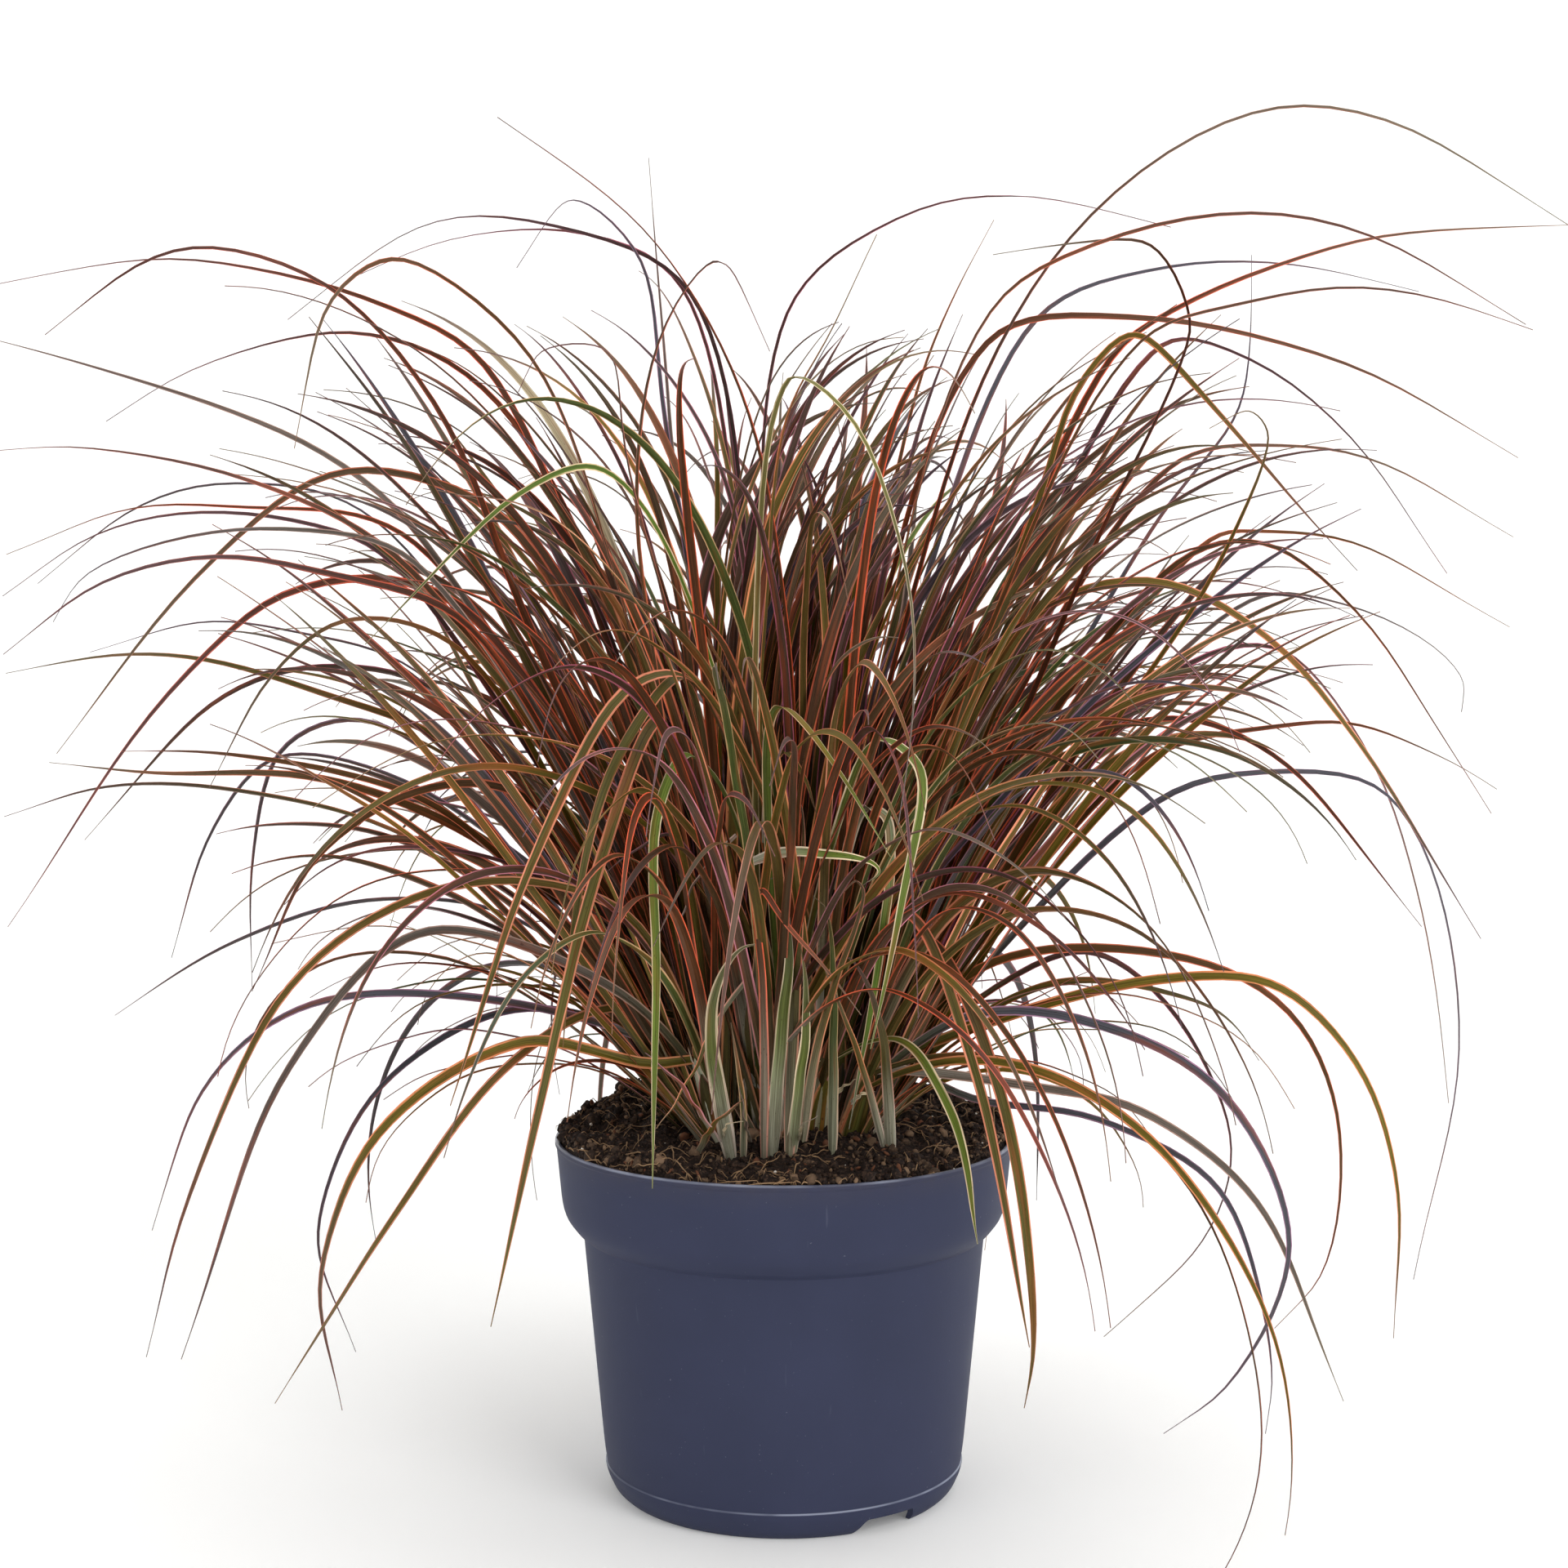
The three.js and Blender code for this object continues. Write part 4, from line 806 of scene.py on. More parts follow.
# Leaves that stand in front of the crown, read the same way: tone, width, depth of the root and of the tip,
# heading and turn in degrees, then places across and up in pairs
frontLeaves = [
    ["cream", 6.8, -47, -58, -90, 10, -22, 142, -27, 165, -30, 185, -29.5, 203, -25, 217, -17, 226, -8, 228],
    ["coral", 3.2, -58, -74, 180, 40, -16, 212, -26, 198, -40, 170, -53, 150],
    ["red", 3.8, -49, -62, -90, -15, -8.5, 142, -8.5, 200, -11, 235, -12, 247, -9, 250, 0, 237, 18, 217,
     32, 198],
    ["cream", 6.2, -46, -50, -90, 20, -5, 140, -1, 190, 2, 220, 1, 245, -2, 256, -6, 255],
    ["coral", 5.2, -50, -36, -90, -10, 2, 140, 3, 175, 5, 215, 7, 250, 8, 275, 6, 287, 0, 289],
    ["cream", 5.2, -46, -46, -90, 15, 3, 140, 6, 165, 9, 190, 9, 210, 7, 228],
    ["green", 4.4, -44, -46, -90, -20, 20, 142, 20.5, 190, 20, 225, 17, 243, 12, 248],
    ["olive", 3.2, -40, -54, -90, 0, 42, 146, 33, 175, 24, 200, 15, 222],
    ["coral", 4.8, -38, -48, -90, 10, 45, 141, 43, 170, 41, 190, 35, 210, 27, 222, 22, 221],
    ["lime", 4.4, -40, -70, -90, -10, 22, 250, 33, 284, 42, 281, 44, 262, 42, 240, 37, 205, 31, 172, 27, 150],
    ["olive", 4, -44, -44, -90, 20, -36, 144, -28, 153, -16, 163],
    ["green", 3, -46, -46, -90, 0, -17, 141, -17, 160, -19, 175, -22, 195],
    ["cream", 4.6, -64, -78, 0, 62, -13, 262, 0, 266, 20, 265, 36, 262, 39, 258, 33, 252],
    ["grey", 2.8, -50, -70, 180, 30, -20, 273, -28, 265, -36, 255, -42, 240, -44, 228],
    ["plum", 3.2, -44, -72, 180, 50, -24, 230, -30, 245, -38, 265, -48, 273, -60, 268, -73, 258],
    ["olive", 3, -52, -62, -90, 0, -8, 270, -7, 290, -4, 303, 0, 308, 8, 298, 14, 280],
    ["rose", 4.2, -52, -66, 180, 40, -28, 150, -36, 158, -46, 172, -58, 182],
    ["olive", 4, -50, -70, -90, -20, 8, 150, 12, 176, 20, 208, 30, 236, 33, 250, 30, 254, 22, 246],
    # Short dry stubs of old leaves
    ["straw", 2.4, -42, -50, 0, 40, 20, 163, 25, 168, 30, 171],
    ["straw", 2.2, -40, -48, 0, 40, 28, 161, 33, 165, 38, 166],
    ["straw", 1.8, -44, -50, 0, 30, 6, 150, 9, 153, 14, 156],
    ["straw", 2, -43, -52, -90, 30, 10, 168, 12, 174, 15, 179],
    ["grey", 2.4, -44, -50, 180, 30, -14, 150, -17, 158, -18, 168],
    ["straw", 1.6, -46, -52, 0, 30, -26, 150, -22, 153, -17, 153],
]


shoots = [shootBase(index) for index in range(clump["shootCount"])]
for base in shoots:
    low, middle, high = (sheathPoint(base, rise) for rise in (-clump["sheathDepth"], 0, clump["sheathRise"]))
    stem = {"start": np.array([low, middle]), "end": np.array([middle, high]),
            "radius": np.full(2, clump["sheathRadius"]), "early": np.zeros(2, bool)}
    takeRoom(stem, base["index"], sheath=True)
    placed.append({"shoot": base["index"], "sheath": True})


def placeTraced(row):
    # grows from the shoot that lies its way, at the first depth where it is clear
    depth, x, z = row[2], row[4], row[5]
    heading = math.atan2(depth * clump["headingDepth"], x)
    slope = math.atan2(abs(x), z - clump["soilHeight"])
    reach = clump["crownRadius"] * min(1, slope / (clump["edgeSlope"] * degrees))
    aim = (reach * math.cos(heading), reach * math.sin(heading))
    near = sorted(shoots, key=lambda base: math.hypot(aim[0] - base["x"], aim[1] - base["y"]))
    for step in range(clump["depthTries"]):
        shift = math.ceil(step / 2) * clump["depthStep"] * (1 if step % 2 else -1)
        for base in near[:clump["nearShoots"]]:
            if tryLeaf(tracedLeaf(row, base, shift)):
                return


for row in tracedLeaves:
    placeTraced(row)
for turnOfDraws in range(clump["rounds"]):
    for base in shoots:
        for attempt in range(clump["tries"]):
            leaf = drawnLeaf(base)
            if insideRound(leaf["line"]) and tryLeaf(leaf):
                break
print("leaves placed as in the CAD model:", len(placed) - len(shoots))


# Leaves added beyond the CAD model's, wherever there is room between those

extras = {
    "seed": 41, "gap": -0.7, "steps": 6, "turn": (-60, 60), "twist": (-60, 60), "drift": (-34, 34),
    "sector": (30, 150), "side": 70, "depth": 7, "top": 530,
    # leaves that lean to one side or the other, and the share of them that leans right
    "crossKinds": ("cross", "middle"), "crossSector": 62, "crossRight": 0.6,
    # first steps that lie deep in the crown, where leaves press on one another
    "hiddenSteps": {"middle": 2, "cross": 2, "crest": 2},
    # how high each kind may be seen, and how far left and right the middle leaves' tips
    "crownTop": {"middle": 484, "cross": 492, "crest": 488, "high": 515}, "middleX": (-8, 46),
    # kept free: the space before the crown, the soil before it, and a thin place at the right
    "frontDepth": -62, "frontReach": 115, "frontLeast": 120, "soilFreeDepth": -38, "soilFreeReach": 62,
    "thinX": (92, 200), "thinZ": (208, 305),
    # front leaves that are rooted in the soil stand nearer at their roots and at their tips, and sink in
    "frontRooted": 160, "frontNearer": (11, 34), "frontSunk": 5, "frontHurry": 1.8,
}
# each kind: rounds over all shoots, tries in each, and how far from its shoot it comes up
kinds = {
    "basal": {"rounds": 6, "tries": 30, "out": 6.2, "lean": (0, 16), "outerLean": 24, "bend": (50, 135),
              "power": (1.5, 3.2), "length": (230, 460), "width": (3.2, 5.6)},
    "middle": {"rounds": 7, "tries": 70, "out": 4, "lean": (-6, 24), "outerLean": 2, "bend": (30, 125),
               "power": (2, 4.5), "length": (270, 390), "width": (3.8, 6)},
    "cross": {"rounds": 9, "tries": 14, "out": 4, "lean": (0, 38), "outerLean": 6, "bend": (20, 105),
              "power": (1.7, 4), "length": (255, 400), "width": (3.8, 6)},
    "crest": {"rounds": 5, "tries": 24, "out": 4, "lean": (-12, 10), "outerLean": 14, "bend": (20, 110),
              "power": (2, 4.5), "length": (270, 380), "width": (3.4, 5.4)},
    "high": {"rounds": 10, "tries": 20, "out": 4, "lean": (-5, 12), "outerLean": 30, "bend": (26, 98),
             "power": (1.5, 3.4), "length": (370, 520), "width": (3, 5.2)},
    "fan": {"rounds": 10, "tries": 20, "out": 5, "lean": (-6, 12), "outerLean": 30, "bend": (14, 90),
            "power": (1.6, 4), "length": (250, 405), "width": (3, 5.2)},
    "wisp": {"rounds": 190, "tries": 10, "out": (0, 14), "lean": (-4, 22), "outerLean": 34, "bend": (20, 150),
             "power": (1, 2.6), "length": (110, 400), "width": (1.5, 2.9)},
}
chance = np.random.default_rng(extras["seed"])


def frontLeaf(row):
    # a leaf in front of the crown: its outline as seen from the viewpoint, from one depth to another
    tone, width, rootDepth, tipDepth, heading, turn, *outline = row
    flat = np.reshape(outline, (-1, 2)).astype(float)
    if flat[0, 1] < extras["frontRooted"]:
        rootDepth, tipDepth = rootDepth - extras["frontNearer"][0], tipDepth - extras["frontNearer"][1]
        flat[0, 1] -= extras["frontSunk"]
    run = runAlong(flat)
    share = np.minimum(1, extras["frontHurry"] * run / run[-1])
    points = toDepth(flat, rootDepth + (tipDepth - rootDepth) * share)
    near = min(shoots, key=lambda base: math.hypot(points[0, 0] - base["x"], points[0, 1] - base["y"]))
    leaf = {"shoot": near["index"], "tone": tone, "width": width, "fine": smoothLine(points), "front": True,
            "heading": heading * degrees, "turn": turn * degrees, "twist": 0}
    return withSteps(leaf, extras["steps"])


def looseLeaf(base, kind):
    # a leaf that comes out of the soil beside its shoot: it stands up first, then arches over
    ranges = {**extras, **kinds[kind]}
    sector = extras["sector"][0] + extras["sector"][1] * (1 - base["share"])
    heading = base["angle"] + chance.uniform(-sector, sector) * degrees
    if kind in extras["crossKinds"]:
        # these cross in front of and behind the upright ones
        left = int(chance.uniform() > extras["crossRight"])
        heading = left * math.pi + chance.uniform(-extras["crossSector"], extras["crossSector"]) * degrees
    side = heading + chance.uniform(-extras["side"], extras["side"]) * degrees
    out = chance.uniform(*ranges["out"]) if kind == "wisp" else ranges["out"]
    start = np.array([base["x"] + out * math.cos(side), base["y"] + out * math.sin(side),
                      clump["soilHeight"] - extras["depth"]])
    leaf = archedLeaf(base, start, heading, ranges, lambda span: chance.uniform(*span))
    leaf["kind"] = kind
    return withSteps(leaf, extras["steps"])


def leavesFrontFree(leaf):
    # an added leaf stays low enough, inside the round, and out of the space before the crown
    x, y, z = leaf["line"].T
    before = (y < extras["frontDepth"]) & (np.abs(x) < extras["frontReach"]) & (z > extras["frontLeast"])
    rootBefore = y[0] < extras["soilFreeDepth"] and abs(x[0]) < extras["soilFreeReach"]
    seenX, seenZ = seenPlaces(leaf["line"])
    thin = (seenX > extras["thinX"][0]) & (seenX < extras["thinX"][1])
    thin &= (seenZ > extras["thinZ"][0]) & (seenZ < extras["thinZ"][1])
    astray = leaf["kind"] == "middle" and not extras["middleX"][0] < seenX[-2] < extras["middleX"][1]
    astray = astray or seenZ.max() > extras["crownTop"].get(leaf["kind"], extras["top"])
    if before.any() or rootBefore or thin.sum() > 1 or astray or z.max() >= extras["top"]:
        return False
    return insideRound(np.column_stack([x, y, np.minimum(z, clump["top"] - 1)]))


def addLeaf(base, kind):
    # one leaf of this kind at the first of so many tries that finds room
    for attempt in range(kinds[kind]["tries"]):
        leaf = looseLeaf(base, kind)
        if leavesFrontFree(leaf) and tryLeaf(leaf, extras["gap"], extras["hiddenSteps"].get(kind, 0)):
            return


for row in frontLeaves:
    leaf = frontLeaf(row)
    placed.append(leaf)
    takeRoom(thickLines(leaf), leaf["shoot"])
for kind in kinds:
    for turnOfDraws in range(kinds[kind]["rounds"]):
        # thin wisps come up at a shoot drawn by chance, the others at every shoot in turn
        for base in [shoots[chance.integers(len(shoots))]] if kind == "wisp" else shoots:
            addLeaf(base, kind)
print("leaves placed in all:", len(placed) - len(shoots))


# Leaf colours: the middle of the blade and its two margins, for each tone seen on the plant

tones = {
    "red": ("#4e2812", "#d65a3c"), "brown": ("#4a3012", "#c66648"), "olive": ("#5c5018", "#cc8056"),
    "salmon": ("#6a5824", "#ee9a78"), "lime": ("#5c7428", "#ecd0a8"), "green": ("#3f5220", "#c8a478"),
    "plum": ("#3e2622", "#aa5870"), "slate": ("#44444c", "#96708a"), "grey": ("#665c54", "#b8988c"),
    "rose": ("#523c32", "#cc8092"), "coral": ("#5a5424", "#de8c6c"), "cream": ("#66782f", "#ead6b2"),
    "straw": ("#b8a888", "#e0d2b4"), "sand": ("#77743a", "#e0cca4"),
}
toneShares = {
    "red": 0.15, "brown": 0.18, "olive": 0.25, "salmon": 0.11, "lime": 0.01, "green": 0.08, "plum": 0.05,
    "slate": 0.04, "grey": 0.02, "rose": 0.1, "straw": 0.01,
}
leafLook = {
    "seed": 77, "seedSpan": 90, "brightness": (0.86, 2.0), "rootCore": "#5c5e2c", "rootMargin": "#c89a72",
    # frontCore and frontMargin: pale feet of leaves at the front, partly their own cream colour and partly a
    # painted sheen and painted light on feet that lie in shade
    "frontCore": "#e2e2cc", "frontMargin": "#fff4e6", "archCore": "#4c2c1c", "archMargin": "#c65c40",
    "frontFrom": -14, "nearShare": 0.42, "nearPower": 1.5,
    # where the root's colours end and the tip's begin, as shares of a leaf's length, and their strength
    "rootStart": 0.02, "rootEnd": 0.3, "frontRootEnd": 0.55, "rootStrength": (0.4, 0.95),
    "tipStart": (0.42, 0.85), "tipStrength": (0.35, 0.95), "hangingTip": 0.2,
    "archStrength": 0.85, "archEnd": (0.3, 0.66),
    "tipTones": (("#58525f", "#947688"), ("#8a8270", "#b3a288"), ("#70545a", "#a88488")),
    "underCore": "#54442e", "underMargin": "#94664a", "underShare": 0.35, "hangingBrightness": 1.3,
}
lookChance = np.random.default_rng(leafLook["seed"])


def leafColors(leaf, shares):
    # core and margin colours along a leaf: greener and paler at the root, greyed or dried at the tip
    tone = leaf["tone"] or lookChance.choice(list(toneShares), p=list(toneShares.values()))
    tip = leafLook["tipTones"][lookChance.integers(3)]
    bright = lookChance.uniform(*leafLook["brightness"])
    inFront = "front" in leaf
    isNear = shoots[leaf["shoot"]]["y"] < leafLook["frontFrom"]
    # leaves at the front of the crown get pale feet: partly their own cream colour, partly a painted sheen
    # and painted light that brightens them where they lie in the crown's shade
    paleFootWithSheen = inFront or (isNear and lookChance.uniform() < leafLook["nearShare"])
    foot = "front" if paleFootWithSheen else "root"
    rootEnd = leafLook["frontRootEnd" if inFront else "rootEnd"]
    rootShare = (1 - smoothStep(shares, leafLook["rootStart"], rootEnd))[:, None]
    rootShare = rootShare * lookChance.uniform(*leafLook["rootStrength"])
    if paleFootWithSheen and not inFront:
        rootShare = rootShare ** leafLook["nearPower"]
    tipShare = smoothStep(shares, lookChance.uniform(*leafLook["tipStart"]), 1)[:, None]
    tipShare = tipShare * lookChance.uniform(*leafLook["tipStrength"])
    if leaf.get("hanging"):
        # a leaf that hangs down before the pot is red up to its arch and greener beyond it
        bright, tipShare = leafLook["hangingBrightness"], leafLook["hangingTip"] * tipShare
        if tone == "coral":
            archShare = 1 - smoothStep(shares, *leafLook["archEnd"])
            foot, rootShare = "arch", leafLook["archStrength"] * archShare[:, None]
    colors = []
    for k, root in enumerate((leafLook[foot + "Core"], leafLook[foot + "Margin"])):
        body = toLinear(tones[tone][k])[None] * np.array([bright, bright, bright, 1])
        color = body + (toLinear(root) - body) * rootShare
        colors.append(color + (toLinear(tip[k]) - color) * tipShare)
    return colors


# Blade shape

blade = {
    "steps": 44, "wispSteps": 30, "smoothing": 2, "thickness": 0.42, "tipThickness": 0.2, "leastHalf": 0.16,
    # folded at the root and flatter beyond a share of the length; then a slow turning to and fro in degrees
    # and a wave in mm, each with its run in radians over the length and the shares between which it grows
    "fold": (0.85, 0.34), "foldEnd": 0.3, "sway": 9, "swayRun": 9, "swayFrom": (0.1, 0.4),
    "wave": 0.5, "waveRun": 23, "waveFrom": (0.15, 0.5), "hangingWiden": 1.12, "sharpAngle": 50,
    "fullKinds": ("middle", "cross", "crest", "fan", "high", "basal"), "fullPower": 5,
}
upperSides = np.array([-1, -0.6, 0, 0.6, 1])
lowerSides = np.array([0.6, 0, -0.6])
upperRise = np.array([0.62, 0.36, -0.28, 0.36, 0.62])
ringSides = np.concatenate([upperSides, lowerSides])
ringCount = len(ringSides)


def bladeRings(leaf, steps):
    # eight points round each step: a channelled upper face, a keeled lower one and two thin edges
    fine = leaf["fine"]
    line, shares = steppedLine(fine, steps)
    for _ in range(blade["smoothing"]):
        # each point moves half way to the middle of its two neighbours
        line[1:-1] += 0.25 * (line[:-2] + line[2:] - 2 * line[1:-1])
    phase = lookChance.uniform(0, 2 * math.pi, 2)
    sway = np.sin(shares * blade["swayRun"] + phase[0]) * blade["sway"] * degrees
    sway = sway * smoothStep(shares, *blade["swayFrom"])
    across = acrossAt(line, shares, leaf)
    along = alongAt(line)
    across = across * np.cos(sway)[:, None] + np.cross(along, across) * np.sin(sway)[:, None]
    up = np.cross(along, across)
    wave = np.sin(shares * blade["waveRun"] + phase[1]) * blade["wave"]
    line = line + up * (wave * smoothStep(shares, *blade["waveFrom"]))[:, None]
    half = halfWidth(leaf["width"], shares)
    if leaf.get("hanging") or leaf.get("kind") in blade["fullKinds"]:
        # these stay broad for longer: (1 - s^5) in place of (1 - s^2.6)
        widen = blade["hangingWiden"] if leaf.get("hanging") else 1
        half = widen * half / (1 - shares ** clump["taperPower"] + 1e-9) * (1 - shares ** blade["fullPower"])
    half = np.maximum(half, blade["leastHalf"])
    folded, flatter = blade["fold"]
    fold = flatter + (folded - flatter) * (1 - smoothStep(shares, 0, blade["foldEnd"]))
    thick = blade["thickness"] + (blade["tipThickness"] - blade["thickness"]) * shares
    rise = np.concatenate([upperRise, upperRise[[3, 2, 1]]])[None] * (fold * half)[:, None]
    # the lower face lies a thickness below the upper one, its keel half as much again
    rise[:, 5:] -= thick[:, None] * np.array([1, 1.5, 1])
    rise[:, [0, 4]] -= 0.5 * thick[:, None]
    sideways = across[:, None] * (half[:, None] * ringSides)[..., None]
    points = line[:, None] + sideways + up[:, None] * rise[..., None]
    return points, shares, runAlong(line)


# Stems and the feet of leaves that clasp them

stemShape = {
    "levels": (-10, 0, 8, 16, 24, 31, 36, 38, 39.2, 39.6), "slimmer": 0.2, "dome": (0.85, 0.5, 0.12),
    "ripple": 0.07, "ripples": 3, "rippleRise": 6,
    # a clasping foot: its rings, from and to where, how far outside the stem, and its wrap in radians
    "footRings": 10, "footFrom": -7, "footBeyond": 6, "footOut": 0.15, "footStep": 0.22, "footThick": 0.4,
    "footWrap": (0.05, 1.25), "footRise": (8, 28), "textureEnd": 0.1,
}


def sheathRadius(level):
    # the stem narrows evenly from the soil to its top
    return np.interp(level, [0, clump["sheathRise"]], [clump["sheathRadius"], clump["sheathTopRadius"]])


def ringsRound(base, level, radius, angle):
    # rings of eight points round a stem's middle line
    middle = np.stack([sheathPoint(base, value) for value in level])
    points = middle[:, None] + turned(radius, 0 * radius, angle)
    return points, np.linspace(0, stemShape["textureEnd"], len(level)), level - level[0]


def footRings(base, heading, rise, order):
    # the foot of a leaf that clasps its stem from below the soil up to where the leaf leaves it
    level = np.linspace(stemShape["footFrom"], rise + stemShape["footBeyond"], stemShape["footRings"])
    radius = (sheathRadius(level) + stemShape["footOut"] + stemShape["footStep"] * order)[:, None]
    # narrowing to a point: least + most x (1 - s^3)
    least, most = stemShape["footWrap"]
    wrap = least + most * (1 - np.linspace(0, 1, len(level)) ** 3)
    angle = heading - ringSides[None] * wrap[:, None]
    radius = np.repeat(radius, ringCount, axis=1)
    radius[:, 5:] -= stemShape["footThick"]
    return ringsRound(base, level, radius, angle)


def stemRings(base):
    # the stem itself, of wrapped leaf feet: radius x (1 + 0.07 cos(3 a + z / 6)), closed above by a low dome
    level = np.array([-clump["sheathDepth"], *stemShape["levels"]])
    radius = sheathRadius(level) - stemShape["slimmer"]
    radius[-3:] *= np.array(stemShape["dome"])
    angle = -np.arange(ringCount) * 2 * math.pi / ringCount
    turn = stemShape["ripples"] * angle[None] + level[:, None] / stemShape["rippleRise"]
    ripple = 1 + stemShape["ripple"] * np.cos(turn)
    return ringsRound(base, level, radius[:, None] * ripple, angle)


def leafMaterial():
    # a sedge leaf: a dark green-brown middle between two orange-red margins, fine parallel veins and a dry
    # satin skin
    material, tree, shader = newMaterial("sedgeLeafBlade", {"IOR": 1.42, "Specular IOR Level": 0.22})
    place = addNode(tree, "UVMap", uv_map="blade")
    parts = addNode(tree, "SeparateXYZ", {0: place}).node
    across, along = parts.outputs["X"], parts.outputs["Y"]
    core = addNode(tree, "Attribute", take="Color", attribute_name="coreColor")
    margin = addNode(tree, "Attribute", take="Color", attribute_name="marginColor")
    seed = addNode(tree, "Attribute", take="Fac", attribute_name="leafSeed")
    # noise over the blade: x across, y along in centimetres, z one value for each leaf
    noises = {}
    for name, scales, detail in (("wander", (1.5, 0.35), 1), ("streak", (14, 0.3), 2),
                                 ("rust", (1.2, 0.16), 1), ("fleck", (9, 3.5), 1)):
        spread = [addNode(tree, "Math", {0: value, 1: scale}, operation="MULTIPLY")
                  for value, scale in zip((across, along), scales)]
        where = addNode(tree, "CombineXYZ", {0: spread[0], 1: spread[1], 2: seed})
        noises[name] = addNode(tree, "TexNoise", {"Vector": where, "Scale": 1, "Detail": detail})
    # soft steps of that noise: where each begins and ends, and how strong it is there
    steps = {
        name: addNode(tree, "MapRange", {
            "Value": noises[source], "From Min": low, "From Max": high, "To Min": start, "To Max": end},
            interpolation_type="SMOOTHSTEP")
        for name, source, low, high, start, end in (
            ("streak", "streak", 0.3, 0.7, 0, 1), ("roughness", "streak", 0.3, 0.7, 0.36, 0.52),
            ("rust", "rust", 0.55, 0.72, 0, 0.55), ("fleck", "fleck", 0.70, 0.76, 0, 0.6))}
    # distance from the middle: 0 at the keel, 1 at the edge; the margin's inner line wanders a little, and
    # each leaf has margins of its own width
    offset = addNode(tree, "Math", {0: across, 1: 0.5}, operation="SUBTRACT")
    size = addNode(tree, "Math", {0: offset}, operation="ABSOLUTE")
    away = addNode(tree, "Math", {0: size, 1: 2}, operation="MULTIPLY")
    wander = addNode(tree, "Math", {0: noises["wander"], 1: 0.5, 2: -0.25}, operation="MULTIPLY_ADD")
    spun = addNode(tree, "Math", {0: seed, 1: 7.3}, operation="MULTIPLY")
    own = addNode(tree, "Math", {0: spun}, operation="FRACT")
    narrower = addNode(tree, "Math", {0: own, 1: 0.2}, operation="MULTIPLY")
    shifted = addNode(tree, "Math", {0: wander, 1: narrower}, operation="SUBTRACT")
    reach = addNode(tree, "Math", {0: away, 1: shifted}, operation="ADD")
    edge = addNode(tree, "MapRange", {"Value": reach, "From Min": 0.56, "From Max": 0.74},
                   interpolation_type="SMOOTHSTEP")
    color = addNode(tree, "Mix", {0: edge, 6: core, 7: margin}, 2, data_type="RGBA")
    # long streaks that run with the blade, and ten veins across it: 62.8 is ten full turns
    shade = addNode(tree, "Mix", {
        0: steps["streak"], 6: toLinear("#b4b0a8"), 7: toLinear("#ffffff")}, 2, data_type="RGBA")
    color = addNode(tree, "Mix", {0: 1, 6: color, 7: shade}, 2, data_type="RGBA", blend_type="MULTIPLY")
    turns = addNode(tree, "Math", {0: across, 1: 62.8}, operation="MULTIPLY")
    wave = addNode(tree, "Math", {0: turns}, operation="SINE")
    vein = addNode(tree, "Math", {0: wave, 1: 0.5, 2: 0.5}, operation="MULTIPLY_ADD")
    veinShare = addNode(tree, "Math", {0: vein, 1: 0.22}, operation="MULTIPLY")
    # veins, then rusty stretches a few centimetres long: each pulls the colour part of the way to its own;
    # small dry flecks last
    for share, pull, target in ((veinShare, 0.6, "#1c120c"), (steps["rust"], 0.5, "#b0502a"),
                                (steps["fleck"], 1, "#3a2018")):
        pulled = addNode(tree, "Mix", {0: pull, 6: color, 7: toLinear(target)}, 2, data_type="RGBA")
        color = addNode(tree, "Mix", {0: share, 6: color, 7: pulled}, 2, data_type="RGBA")
    tree.links.new(steps["roughness"], shader.inputs["Roughness"])
    halfVein = addNode(tree, "Math", {0: vein, 1: 0.5}, operation="MULTIPLY")
    relief = addNode(tree, "Math", {0: noises["streak"], 1: 0.6, 2: halfVein}, operation="MULTIPLY_ADD")
    finishShader(tree, shader, color, relief, 0.35, 0.15)
    return material


def ringColors(core, margin):
    # the lower three of each ring's eight points take the duller underside
    both = []
    for color, under in ((core, leafLook["underCore"]), (margin, leafLook["underMargin"])):
        full = np.repeat(color[:, None], ringCount, axis=1)
        full[:, 5:] += (toLinear(under) - full[:, 5:]) * leafLook["underShare"]
        both.append(full.reshape(-1, 4))
    return both


